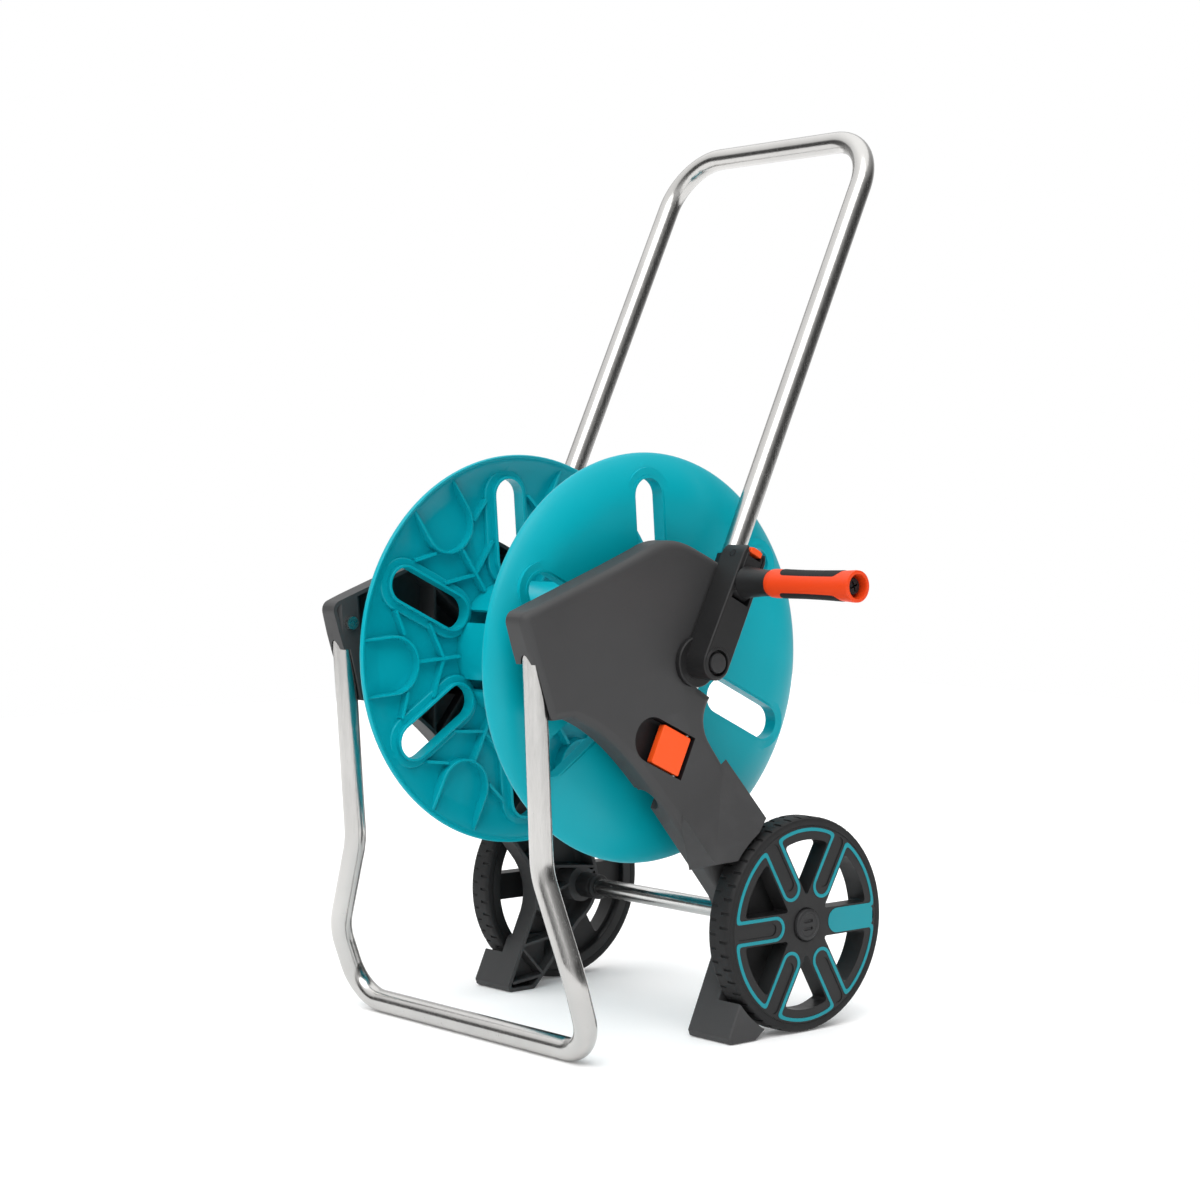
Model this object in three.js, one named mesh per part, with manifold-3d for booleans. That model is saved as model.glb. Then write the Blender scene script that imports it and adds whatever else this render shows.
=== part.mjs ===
// Garden hose reel cart: a hose drum with a folding crank, carried between two moulded side panels
// on two wheels, two feet and a bent steel stand, with a push handle that slides down into the panels.
// Millimetres. Until the last lines +X is the crank side, -Y the front, +Z up, and the origin is on
// the ground under the middle of the drum.

import * as THREE from 'three';
import { mergeVertices } from 'three/addons/utils/BufferGeometryUtils.js';
import { ConvexGeometry } from 'three/addons/geometries/ConvexGeometry.js';
import Module from 'manifold-3d';

const wasm = await Module();
wasm.setup();

// ---------------------------------------------------------------- driving dimensions

const gap = 0.3;                    // clearance between neighbouring pieces
const turn = Math.PI / 180;

const drumRadius = 180;             // outside of the flanges
const drumZ = 330;                  // height of the drum's axis
const rimPlane = 95;                // outer edge of a flange, from the middle plane
const rimWidth = 9;
const webOuter = 105;               // the dished web of a flange
const webInner = 101;
const collarInner = 91;             // inner lips of the flange slots
const coreRadius = 64;
const coreEnd = 100.7;              // half length of the core
const shaftRadius = 12;             // in the core and the bearings
const journalRadius = 8;            // past the handle tubes and in the crank
const journalStart = 120;
const bearingStart = 112;
const waterBore = 5.5;

const slotCount = 6;
const slotFirst = 34;               // degrees
const slotInner = 67;
const slotOuter = 158;
const slotWidth = 31;

const panelInner = 124;
const panelOuter = 151.5;
const legInner = 127;
const footOuter = 180;
const skin = 3;

const wheelRadius = 95;
const wheelOuter = 181;
const wheelInner = 155;
const axleY = 107.5;
const axleRadius = 8.5;
const archRadius = 99.5;            // the recess of the panel around the wheel

const handleX = 131;                // middle of a handle leg
const handleRadius = 10;
const handleTilt = 25.46;           // degrees back from upright
const handleTop = [245.6, 801.6];   // Y, Z of the middle of the grip bar
const handleLength = 631;           // from the grip bar to a leg's lower end
const handleBend = 52;

const standRadius = 10;
const standBend = 58;

const crankInner = 152.5;
const crankOuter = 181;
const crankWidth = 28;
const crankTilt = 26.4;             // degrees back from upright
const foldPinAt = 97;               // along the crank arm, from the drum's axis
const foldPinX = 167;
const gripAt = 76;
const gripStart = 208;
const gripEnd = 316;

// ---------------------------------------------------------------- finishes

function finish(color, roughness, metalness = 0) {
  return new THREE.MeshStandardMaterial({ color, roughness, metalness });
}
const greyPlastic = () => finish(0x4b4c4e, 0.62);
const blackPlastic = () => finish(0x202123, 0.5);
const tealPlastic = () => finish(0x00a6bd, 0.38);
const orangePlastic = () => finish(0xf4581f, 0.45);
const softRubber = () => finish(0x1b1b1d, 0.85);
const steel = () => finish(0xc9cbcd, 0.22, 1);

// ---------------------------------------------------------------- solids

function solid(geometry) {
  const bare = geometry.index ? geometry.toNonIndexed() : geometry.clone();
  bare.deleteAttribute('normal');
  bare.deleteAttribute('uv');
  const merged = mergeVertices(bare, 1e-4);
  return new wasm.Manifold(new wasm.Mesh({
    numProp: 3,
    vertProperties: new Float32Array(merged.attributes.position.array),
    triVerts: new Uint32Array(merged.index.array),
  }));
}

function geometryOf(body) {
  const mesh = body.getMesh();
  const geometry = new THREE.BufferGeometry();
  geometry.setAttribute('position', new THREE.BufferAttribute(mesh.vertProperties, mesh.numProp));
  geometry.setIndex(new THREE.BufferAttribute(mesh.triVerts, 1));
  return geometry;
}

function join(...bodies) {
  return bodies.reduce((sum, body) => sum.add(body));
}

function cut(body, ...tools) {
  return tools.reduce((rest, tool) => rest.subtract(tool), body);
}

// A flat outline in Y and Z, drawn out along X.
function prismX(outline, x0, x1, holes = []) {
  const shape = new THREE.Shape(outline.map(([y, z]) => new THREE.Vector2(y, z)));
  shape.holes = holes.map((hole) => new THREE.Path(hole.map(([y, z]) => new THREE.Vector2(y, z))));
  const geometry = new THREE.ExtrudeGeometry(shape, { depth: x1 - x0, bevelEnabled: false });
  const basis = new THREE.Matrix4().makeBasis(
    new THREE.Vector3(0, 1, 0),
    new THREE.Vector3(0, 0, 1),
    new THREE.Vector3(1, 0, 0),
  );
  geometry.applyMatrix4(basis.setPosition(x0, 0, 0));
  return solid(geometry);
}

// A closed profile of [radius, x] points, turned about the line through (y, z) along X.
function turnedX(profile, y, z, segments = 40) {
  const area = profile.reduce((sum, [r, x], i) => {
    const [nextR, nextX] = profile[(i + 1) % profile.length];
    return sum + r * nextX - nextR * x;
  }, 0);
  const ring = area > 0 ? profile : [...profile].reverse();
  const points = [...ring, ring[0]].map(([r, x]) => new THREE.Vector2(r, x));
  const geometry = new THREE.LatheGeometry(points, segments);
  geometry.rotateZ(-Math.PI / 2);
  geometry.translate(0, y, z);
  return solid(geometry);
}

function rodX(radius, x0, x1, y, z, segments = 18) {
  return turnedX([[0, x0], [radius, x0], [radius, x1], [0, x1]], y, z, segments);
}

function ringX(inner, outer, x0, x1, y, z, segments = 18) {
  return turnedX([[inner, x0], [outer, x0], [outer, x1], [inner, x1]], y, z, segments);
}

// A straight round bar between two points.
function rod(from, to, radius, segments = 12) {
  const start = new THREE.Vector3(...from);
  const along = new THREE.Vector3(...to).sub(start);
  const geometry = new THREE.CylinderGeometry(radius, radius, along.length(), segments);
  geometry.translate(0, along.length() / 2, 0);
  const up = new THREE.Vector3(0, 1, 0);
  geometry.applyQuaternion(new THREE.Quaternion().setFromUnitVectors(up, along.clone().normalize()));
  geometry.translate(...from);
  return solid(geometry);
}

// Moves a closed outline inwards by a distance, keeping its sides straight.
function inset(outline, distance) {
  const count = outline.length;
  const area = outline.reduce((sum, [y, z], i) => {
    const [nextY, nextZ] = outline[(i + 1) % count];
    return sum + y * nextZ - nextY * z;
  }, 0);
  const side = Math.sign(area) * distance;
  return outline.map((point, i) => {
    const before = outline[(i + count - 1) % count];
    const after = outline[(i + 1) % count];
    const a = new THREE.Vector2(point[0] - before[0], point[1] - before[1]).normalize();
    const b = new THREE.Vector2(after[0] - point[0], after[1] - point[1]).normalize();
    const normal = new THREE.Vector2(-a.y - b.y, a.x + b.x).normalize();
    const reach = side / Math.max(0.5, normal.dot(new THREE.Vector2(-a.y, a.x)));
    return [point[0] + normal.x * reach, point[1] + normal.y * reach];
  });
}

// A round-ended slot outline about (y, z), its long way turned to an angle in degrees.
function stadium(y, z, length, width, angle, steps = 3) {
  const radius = width / 2;
  const reach = length / 2 - radius;
  const points = [];
  for (const end of [1, -1]) {
    for (let i = 0; i <= steps; i += 1) {
      const bearing = (i / steps - 0.5) * Math.PI + (end > 0 ? 0 : Math.PI);
      points.push([end * reach + radius * Math.cos(bearing), radius * Math.sin(bearing)]);
    }
  }
  const c = Math.cos(angle * turn);
  const s = Math.sin(angle * turn);
  return points.map(([u, v]) => [y + u * c - v * s, z + u * s + v * c]);
}

// A route of straight runs with rounded corners, stepped only where it bends.
class BentRoute extends THREE.Curve {
  constructor(corners, radius, bendSteps) {
    super();
    this.stops = [new THREE.Vector3(...corners[0])];
    for (let i = 1; i < corners.length - 1; i += 1) {
      const corner = new THREE.Vector3(...corners[i]);
      const into = new THREE.Vector3(...corners[i - 1]).sub(corner);
      const out = new THREE.Vector3(...corners[i + 1]).sub(corner);
      const half = into.angleTo(out) / 2;
      const reach = Math.min(radius / Math.tan(half), into.length() * 0.48, out.length() * 0.48);
      const start = corner.clone().addScaledVector(into.normalize(), reach);
      const end = corner.clone().addScaledVector(out.normalize(), reach);
      const bulge = reach * Math.tan(half);
      const centre = into.clone().add(out).normalize().multiplyScalar(bulge / Math.sin(half)).add(corner);
      const a = start.sub(centre);
      const b = end.sub(centre);
      const sweep = a.angleTo(b);
      for (let k = 0; k <= bendSteps; k += 1) {
        const t = k / bendSteps;
        const weightA = Math.sin((1 - t) * sweep) / Math.sin(sweep);
        const weightB = Math.sin(t * sweep) / Math.sin(sweep);
        this.stops.push(centre.clone().addScaledVector(a, weightA).addScaledVector(b, weightB));
      }
    }
    this.stops.push(new THREE.Vector3(...corners[corners.length - 1]));
  }

  get steps() {
    return this.stops.length - 1;
  }

  getPoint(t) {
    return this.stops[Math.round(t * this.steps)].clone();
  }

  getPointAt(u) {
    return this.getPoint(u);
  }

  getTangentAt(u) {
    const i = Math.round(u * this.steps);
    const ahead = this.stops[Math.min(i + 1, this.steps)].clone().sub(this.stops[i]).normalize();
    const behind = this.stops[i].clone().sub(this.stops[Math.max(i - 1, 0)]).normalize();
    return ahead.add(behind).normalize();
  }
}

function bentTube(route, outerRadius, innerRadius) {
  const section = new THREE.Shape().absarc(0, 0, outerRadius, 0, 2 * Math.PI);
  section.holes = [new THREE.Path().absarc(0, 0, innerRadius, 0, 2 * Math.PI, true)];
  return solid(new THREE.ExtrudeGeometry(section, {
    steps: route.steps,
    extrudePath: route,
    curveSegments: 5,
  }));
}

// ---------------------------------------------------------------- placing

const cart = new THREE.Group();

function place(name, body, material, origin = [0, 0, 0]) {
  const mesh = new THREE.Mesh(geometryOf(body), material);
  mesh.name = name;
  mesh.geometry.translate(-origin[0], -origin[1], -origin[2]);
  mesh.position.set(...origin);
  cart.add(mesh);
}

// The same piece on the other side of the middle plane.
function placeMirrored(name, body, material, origin = [0, 0, 0]) {
  const geometry = geometryOf(body);
  geometry.scale(-1, 1, 1);
  const order = geometry.index.array;
  for (let i = 0; i < order.length; i += 3) {
    [order[i + 1], order[i + 2]] = [order[i + 2], order[i + 1]];
  }
  const mesh = new THREE.Mesh(geometry, material);
  mesh.name = name;
  geometry.translate(origin[0], -origin[1], -origin[2]);
  mesh.position.set(-origin[0], origin[1], origin[2]);
  cart.add(mesh);
}

function placePair(name, body, material, origin) {
  place(`${name}_right`, body, material, origin);
  placeMirrored(`${name}_left`, body, material, origin);
}

// A point on the handle's leg line, a distance below the grip bar.
function handlePoint(distance, x = handleX) {
  return [
    x,
    handleTop[0] - distance * Math.sin(handleTilt * turn),
    handleTop[1] - distance * Math.cos(handleTilt * turn),
  ];
}

// ---------------------------------------------------------------- drum

const drumAxis = [0, 0, drumZ];

function slotOutline(index, grow) {
  const angle = slotFirst + (360 / slotCount) * index;
  const middle = (slotInner + slotOuter) / 2;
  const length = slotOuter - slotInner + 2 * grow;
  const y = middle * Math.cos(angle * turn);
  const z = drumZ + middle * Math.sin(angle * turn);
  return stadium(y, z, length, slotWidth + 2 * grow, angle);
}

const screwCircle = 44;
const screwRadius = 2.5;
const drumScrewAngles = [60, 180, 300];

function screwPoint(angle) {
  return [screwCircle * Math.cos(angle * turn), drumZ + screwCircle * Math.sin(angle * turn)];
}

// One of the six slots is left closed, at the bottom on the crank side and next to it on the other.
function flange(closedSlot) {
  const hubInner = shaftRadius + 1;
  const hubOuter = 25;
  const rimInner = 171;
  const dishInner = 150;
  let body = turnedX([
    [hubInner, webInner], [dishInner, webInner], [rimInner, rimPlane - rimWidth],
    [drumRadius, rimPlane - rimWidth], [drumRadius, rimPlane], [rimInner + 2, rimPlane],
    [dishInner + 2, webOuter], [hubOuter, webOuter], [hubOuter, bearingStart - 1],
    [hubInner, bearingStart - 1],
  ], 0, drumZ, 36);
  for (let i = 0; i < slotCount; i += 1) {
    if (i === closedSlot) continue;
    const collar = prismX(slotOutline(i, 2.5), collarInner, webOuter - 1);
    body = cut(join(body, collar), prismX(slotOutline(i, 0), collarInner - 15, webOuter + 5));
  }
  for (const angle of drumScrewAngles) {
    body = cut(body, rodX(screwRadius + gap, collarInner, webOuter + 5, ...screwPoint(angle), 6));
  }
  return body;
}

const flangeOrigin = [rimPlane, 0, drumZ];
place('drum_flange_right', flange(4), tealPlastic(), flangeOrigin);
placeMirrored('drum_flange_left', flange(5), tealPlastic(), flangeOrigin);

// The core: a hub with six webs, each ending in a curved segment that the hose lies on.
function core() {
  const hubRadius = 21;
  const webHalf = 2;
  const segmentHalf = 24;
  const segmentWall = 3.5;
  const outline = [];
  for (let i = 0; i < slotCount; i += 1) {
    const middle = (30 + 30 + (360 / slotCount) * i) * turn;
    const push = (radius, angle) => outline.push([
      radius * Math.cos(middle + angle),
      drumZ + radius * Math.sin(middle + angle),
    ]);
    push(hubRadius, -25 * turn);
    push(hubRadius, -webHalf / hubRadius);
    push(coreRadius - segmentWall, -webHalf / coreRadius);
    push(coreRadius - segmentWall, -segmentHalf * 0.5 * turn);
    push(coreRadius - segmentWall, -segmentHalf * turn);
    for (let k = -2; k <= 2; k += 1) push(coreRadius, (segmentHalf * k * turn) / 2);
    push(coreRadius - segmentWall, segmentHalf * turn);
    push(coreRadius - segmentWall, segmentHalf * 0.5 * turn);
    push(coreRadius - segmentWall, webHalf / coreRadius);
    push(hubRadius, webHalf / hubRadius);
    push(hubRadius, 25 * turn);
  }
  return prismX(outline, -coreEnd, coreEnd);
}

// Each end of the core carries a boss for every flange screw, standing on a web.
const outletX = 55;                 // on the crank side; the outlet is placed mirrored
const outletAngle = 34 * turn;
const outletRadius = 9;

function outletRay(radius) {
  return [outletX, radius * Math.cos(outletAngle), drumZ + radius * Math.sin(outletAngle)];
}

function bossedCore() {
  let body = core();
  for (const angle of drumScrewAngles) {
    const [y, z] = screwPoint(angle);
    for (const side of [-1, 1]) {
      const ends = [side * coreEnd, side * (coreEnd - 24)].sort((a, b) => a - b);
      const hole = [side * (coreEnd + 5), side * (coreEnd - 20)].sort((a, b) => a - b);
      body = cut(join(body, rodX(6, ...ends, y, z, 8)), rodX(screwRadius + gap, ...hole, y, z, 6));
    }
  }
  body = cut(body, rodX(shaftRadius + gap, -coreEnd - 5, coreEnd + 5, 0, drumZ));
  const [x, y, z] = outletRay(1);
  return cut(body, rod([-x, 0, drumZ], [-x, 40 * y, drumZ + 40 * (z - drumZ)], outletRadius + gap));
}
place('drum_core', bossedCore(), tealPlastic(), drumAxis);

// Screws that hold the flanges to the core.
drumScrewAngles.forEach((angle, i) => {
  const [y, z] = screwPoint(angle);
  const head = 5;
  const seat = webOuter + gap;
  const screw = join(
    rodX(screwRadius - gap, coreEnd - 18, seat + 0.5, y, z, 8),
    rodX(head, seat, seat + 3.2, y, z, 8),
  );
  place(`flange_screw_right_${i + 1}`, screw, steel(), [seat, y, z]);
  placeMirrored(`flange_screw_left_${i + 1}`, screw, steel(), [seat, y, z]);
});

// The crank side turns on a solid stub, the other side on the hollow water shaft.
function steppedShaft(start, end) {
  return turnedX([
    [0, start], [shaftRadius, start], [shaftRadius, journalStart - gap],
    [journalRadius, journalStart - gap], [journalRadius, end], [0, end],
  ], 0, drumZ, 18);
}
place('crank_shaft', steppedShaft(10, 172), blackPlastic(), drumAxis);

const waterShaft = cut(
  steppedShaft(30, 168),
  rodX(waterBore, 36, 180, 0, drumZ, 12),
  rod(outletRay(0), outletRay(20), waterBore),
);
placeMirrored('water_shaft', waterShaft, blackPlastic(), drumAxis);

const outletNipple = cut(
  rod(outletRay(shaftRadius + gap), outletRay(56), outletRadius),
  rod(outletRay(5), outletRay(70), 6),
);
placeMirrored('outlet_nipple', outletNipple, blackPlastic(), outletRay(30));

// ---------------------------------------------------------------- side panels

// The outline of a panel in Y and Z: the shield over the drum's bearing, the leg down past the
// axle, and the foot, which reaches forwards again.
function panelOutline() {
  const path = new THREE.Shape();
  path.moveTo(-186, 375);
  path.lineTo(-82, 414);
  path.lineTo(-49, 427);
  path.quadraticCurveTo(-22, 441, 8, 427);
  path.lineTo(42, 411);
  path.lineTo(73.3, 400.7);
  path.lineTo(33, 316);
  path.lineTo(-7, 316);
  path.lineTo(23, 298);
  path.quadraticCurveTo(7, 278, 23, 257);
  path.lineTo(44, 229);
  path.lineTo(84, 188);
  path.quadraticCurveTo(122, 140, 129, 98);
  path.quadraticCurveTo(128, 72, 104, 58);
  path.lineTo(60, 12);
  path.lineTo(48, 0);
  path.lineTo(18, 0);
  path.lineTo(16, 6);
  path.lineTo(43, 66);
  path.quadraticCurveTo(58, 94, 39, 122);
  path.lineTo(4, 165);
  path.lineTo(-28, 204);
  path.quadraticCurveTo(-58, 240, -82, 260);
  path.quadraticCurveTo(-108, 281, -132, 288);
  path.lineTo(-156, 287);
  path.lineTo(-177, 346);
  path.closePath();
  return path.extractPoints(3).shape.slice(0, -1).map((p) => [p.x, p.y]);
}

const standRoute = [
  [137.4, -166.5, 372], [134.2, -153.8, 160], [169, -148, 76], [166, -126, standRadius],
];
const standScrewZ = 358;
const standScrewY = -165.7;
const standSlot = [[-210, 344], [-166, 344], [-150, 275], [-210, 275]];

const latchMiddle = handlePoint(610);
const latchAcross = [Math.cos(handleTilt * turn), -Math.sin(handleTilt * turn)];

// A point beside the latch: n across the handle's line towards the back, u up along it.
function latchPoint(n, u) {
  return [
    latchMiddle[1] + n * latchAcross[0] + u * Math.sin(handleTilt * turn),
    latchMiddle[2] + n * latchAcross[1] + u * Math.cos(handleTilt * turn),
  ];
}

const latchHalf = 17.5;
const latchReach = 28;
const recessFloor = 142.9;
const recessBack = 11;
const pocketFloor = 140.5;           // in front of the handle's bore, where a latch is pressed in
const pocketBack = -9;
const latchPinX = 146.6;

function latchRecess(grow, back = recessBack) {
  const radius = latchHalf + 2 + grow;
  const recessReach = 34;
  const steps = 4;
  const points = [latchPoint(back, radius), latchPoint(-recessReach, radius)];
  for (let i = 1; i < steps; i += 1) {
    const bearing = (i * Math.PI) / steps;
    points.push(latchPoint(-recessReach - radius * Math.sin(bearing), radius * Math.cos(bearing)));
  }
  points.push(latchPoint(-recessReach, -radius), latchPoint(back, -radius));
  return points;
}

// A plate inside the panel between two points of its outline, reaching out to its skin.
function rib(from, to, x0 = panelInner + 2, half = 1.25) {
  const along = new THREE.Vector2(to[0] - from[0], to[1] - from[1]).normalize();
  const side = [-along.y * half, along.x * half];
  return prismX([
    [from[0] + side[0], from[1] + side[1]],
    [to[0] + side[0], to[1] + side[1]],
    [to[0] - side[0], to[1] - side[1]],
    [from[0] - side[0], from[1] - side[1]],
  ], x0, panelOuter - 1);
}

// The outer face leans inwards along the front edge; a smaller depth gives the same lean deeper in.
function frontLean(depth) {
  const corner = (x, y, z) => new THREE.Vector3(x - depth, y, z);
  return solid(new ConvexGeometry([250, 460].flatMap((z) => [
    corner(panelOuter + 10, -168, z), corner(panelOuter + 10, -230, z),
    corner(panelOuter, -168, z), corner(panelOuter - 17, -230, z),
  ])));
}

function sidePanel() {
  const outline = panelOutline();
  const hollow = prismX(inset(outline, skin + 0.5), panelInner - 5, panelOuter - skin);
  const shell = cut(prismX(outline, panelInner, panelOuter), cut(hollow, frontLean(skin)));

  const shieldRibs = [100, 140, 178, 215].map((angle) => rib(
    [20 * Math.cos(angle * turn), drumZ + 20 * Math.sin(angle * turn)],
    [230 * Math.cos(angle * turn), drumZ + 230 * Math.sin(angle * turn)],
  ));
  const crossRibs = [
    rib([-70, 255], [-70, 440]),
    rib([-128, 270], [-128, 415]),
  ];
  const trussNodes = [
    [-35, 290], [-70, 245], [14, 262], [-20, 195], [60, 215], [10, 155], [100, 165],
    [42, 118], [130, 110], [46, 80], [96, 52], [32, 42], [60, 12], [22, 8],
  ];
  const truss = trussNodes.slice(1).map((node, i) => rib(trussNodes[i], node, legInner - 1));
  const sleeve = 16;
  const bosses = [
    rodX(17, legInner - 4, panelOuter, axleY, wheelRadius, 16),
    rod(handlePoint(420), handlePoint(700), sleeve, 12),
    rib(handlePoint(420).slice(1), handlePoint(700).slice(1), handleX, sleeve),
    rod([137.6, -167.2, 384], [135.9, -160.5, 285], sleeve, 12),
    rib([-167.2, 384], [-160.5, 285], standRoute[0][0], sleeve),
    prismX(latchRecess(skin), pocketFloor - skin, panelOuter - 1),
  ];
  const inside = join(...shieldRibs, ...crossRibs, ...truss, ...bosses).intersect(
    prismX(inset(outline, 1), panelInner, panelOuter - 0.5),
  );
  const bearingBoss = rodX(22, bearingStart, panelOuter - 1, 0, drumZ, 16);

  const fender = solid(new ConvexGeometry([
    [150, -14, 206], [150, -3, 150], [150, 38, 240], [150, 70, 190],
    [175, 2, 156], [175, 64, 192], [175, 40, 158],
  ].map((p) => new THREE.Vector3(...p))));
  const foot = prismX([[18, 0], [16, 6], [36, 50], [70, 50], [70, 16], [48, 0]], 140, footOuter);
  const arch = rodX(archRadius, wheelInner - 2.5, 210, axleY, wheelRadius, 30);

  const outerParts = cut(join(fender, foot), arch);
  const legRelief = prismX([[-120, 205], [-20, 228], [80, 228], [160, 160], [160, -10], [-20, -10]],
    panelInner - 10, legInner);

  return cut(
    join(shell, inside, bearingBoss, outerParts),
    legRelief,
    frontLean(0),
    rodX(17 + gap, bearingStart - 5, journalStart, 0, drumZ),
    rodX(journalRadius + 0.5, 110, 200, 0, drumZ, 16),
    rodX(axleRadius + gap, 90, 200, axleY, wheelRadius, 16),
    rod(handlePoint(400), handlePoint(800), handleRadius + 0.6),
    rod(handlePoint(420), handlePoint(454), 13 + 2 * gap),
    rod([137.45, -166.7, 374], [134.0, -153.2, 150], standRadius + 1),
    prismX(standSlot, panelInner - 10, panelOuter - skin),
    prismX(latchRecess(0), recessFloor, 160),
    prismX(latchRecess(0, pocketBack), pocketFloor, 160),
    rod([100, standScrewY, standScrewZ], [panelOuter - skin, standScrewY, standScrewZ], 3.3, 12),
    rod([latchPinX, ...latchPoint(5, 25)], [latchPinX, ...latchPoint(5, -25)], 1.8, 10),
  );
}

placePair('side_panel', sidePanel(), greyPlastic(), [panelOuter, 0, drumZ]);

placePair(
  'drum_bearing',
  ringX(shaftRadius + gap, 17, bearingStart, journalStart - gap, 0, drumZ),
  blackPlastic(),
  [bearingStart, 0, drumZ],
);

// ---------------------------------------------------------------- steel stand

const standCorners = [
  ...standRoute,
  ...[...standRoute].reverse().map(([x, y, z]) => [-x, y, z]),
];
const standTube = cut(
  bentTube(new BentRoute(standCorners, standBend, 3), standRadius, standRadius - 1.5),
  rod([-170, standScrewY, standScrewZ], [170, standScrewY, standScrewZ], 3.3, 12),
);
place('stand_tube', standTube, steel(), [0, -150, 0]);

const standScrew = join(
  rodX(3, panelInner - 1, panelOuter - skin - 1, standScrewY, standScrewZ, 12),
  rodX(6, panelInner - 4, panelInner - gap, standScrewY, standScrewZ, 12),
);
placePair('stand_screw', standScrew, steel(), [panelInner, standScrewY, standScrewZ]);

// ---------------------------------------------------------------- axle and wheels

place('axle_tube', ringX(axleRadius - 1.5, axleRadius, -177, 177, axleY, wheelRadius), steel(),
  [0, axleY, wheelRadius]);
placePair('axle_sleeve', ringX(axleRadius + gap, 12, 100, legInner - 4 - gap, axleY, wheelRadius),
  blackPlastic(), [110, axleY, wheelRadius]);

const spokeCount = 6;
const treadInner = 87;

function wheelPoint(radius, angle) {
  return [axleY + radius * Math.cos(angle), wheelRadius + radius * Math.sin(angle)];
}

// The opening between two spokes: a sector with rounded corners.
function windowOutline(index) {
  const middle = ((index + 0.5) * 360 * turn) / spokeCount;
  const half = 30 * turn;
  const margin = 12.5;
  const rim = 75;
  const hub = 27;
  const edge = (radius, side) => wheelPoint(radius, middle + side * (half - Math.asin(margin / radius)));
  const corner = (radius, side, pull) => wheelPoint(
    radius,
    middle + side * (half - Math.asin(margin / radius)) * pull,
  );
  const points = [edge(hub, -1), edge(rim - 9, -1), corner(rim - 2.5, -1, 0.93)];
  for (const share of [-0.65, -0.22, 0.22, 0.65]) points.push(wheelPoint(rim, middle + share * half));
  points.push(corner(rim - 2.5, 1, 0.93), edge(rim - 9, 1), edge(hub, 1));
  return points;
}

// The thin coloured line on a wheel's face: round each spoke's inner end and along the rim.
const inlayRadius = 84;
const inlayHalf = 1.5;
const inlaySpoke = 9.5;
const inlayInnerEnd = 38;

function inlayLoop(offset) {
  const points = [];
  const outer = inlayRadius + offset;
  const half = inlaySpoke - offset;
  for (let i = 0; i < spokeCount; i += 1) {
    const axis = (i * 360 * turn) / spokeCount;
    const push = (along, across) => points.push([
      axleY + along * Math.cos(axis) - across * Math.sin(axis),
      wheelRadius + along * Math.sin(axis) + across * Math.cos(axis),
    ]);
    push(outer - 6, -half);
    for (let k = 0; k <= 3; k += 1) {
      const bearing = (-90 - 60 * k) * turn;
      push(inlayInnerEnd + half * Math.cos(bearing), half * Math.sin(bearing));
    }
    push(outer - 6, half);
    const start = Math.asin((half + 4) / outer);
    for (let k = 0; k <= 4; k += 1) {
      const bearing = axis + start + ((60 * turn - 2 * start) * k) / 4;
      points.push(wheelPoint(outer, bearing));
    }
  }
  return points;
}

// The rearward spoke's face is coloured all over.
function inlaySpokeFill(grow) {
  const reach = inlayRadius - inlayInnerEnd + inlaySpoke + 2 * grow;
  const middle = inlayInnerEnd - inlaySpoke + reach / 2 - grow;
  const fill = stadium(axleY + middle, wheelRadius, reach + inlaySpoke, 2 * (inlaySpoke + grow), 0);
  return fill.map(([y, z]) => [Math.min(y, axleY + inlayRadius - 1), z]);
}

// The whole inlay, swollen all round by a clearance.
function inlayPlate(grow, x0, x1) {
  const line = cut(
    prismX(inlayLoop(inlayHalf + grow), x0, x1),
    prismX(inlayLoop(-inlayHalf - grow), x0 - 5, x1 + 5),
  );
  return join(line, prismX(inlaySpokeFill(grow), x0, x1));
}

function wheelBody() {
  const windows = Array.from({ length: spokeCount }, (_, i) => windowOutline(i));
  const web = turnedX([[axleRadius + 0.35, 164], [treadInner, 164], [treadInner, wheelOuter],
    [axleRadius + 0.35, wheelOuter]], axleY, wheelRadius, 30);
  const rim = ringX(78, treadInner, wheelInner + 1, 165, axleY, wheelRadius, 30);
  const hub = ringX(axleRadius + 0.35, 19, wheelInner + 1, 165, axleY, wheelRadius);
  const openings = windows.map((outline) => prismX(outline, 150, 190));
  const groove = inlayPlate(gap, wheelOuter - 1.5 - gap, 190);
  const pocket = rodX(14 + gap, 176.5, 190, axleY, wheelRadius);
  return cut(join(web, rim, hub), ...openings, groove, pocket);
}

const tyre = turnedX([
  [treadInner + gap, wheelInner + 1], [91.5, wheelInner], [wheelRadius, wheelInner + 4],
  [wheelRadius, wheelOuter - 4], [91.5, wheelOuter], [treadInner + gap, wheelOuter - 0.5],
], axleY, wheelRadius, 30);

const inlay = inlayPlate(0, wheelOuter - 1.5, wheelOuter + 0.4);

const wheelCentre = [wheelOuter, axleY, wheelRadius];
placePair('wheel', wheelBody(), blackPlastic(), wheelCentre);
placePair('tyre', tyre, softRubber(), wheelCentre);
placePair('wheel_inlay', inlay, tealPlastic(), wheelCentre);
placePair('hub_cap', rodX(14, 178.6, 184, axleY, wheelRadius, 24), greyPlastic(), wheelCentre);
placePair('axle_clip', ringX(axleRadius + 0.4, 12.5, 176.8, 178.3, axleY, wheelRadius), steel(),
  wheelCentre);

// ---------------------------------------------------------------- push handle

const handleEnd = handlePoint(handleLength);
const handleCorners = [
  handleEnd,
  [handleX, ...handleTop],
  [-handleX, ...handleTop],
  [-handleEnd[0], handleEnd[1], handleEnd[2]],
];
const handleInside = handleRadius - 1.2;
const handleTube = bentTube(new BentRoute(handleCorners, handleBend, 5), handleRadius, handleInside);
place('handle_tube', handleTube, steel(), [0, ...handleTop]);

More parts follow.
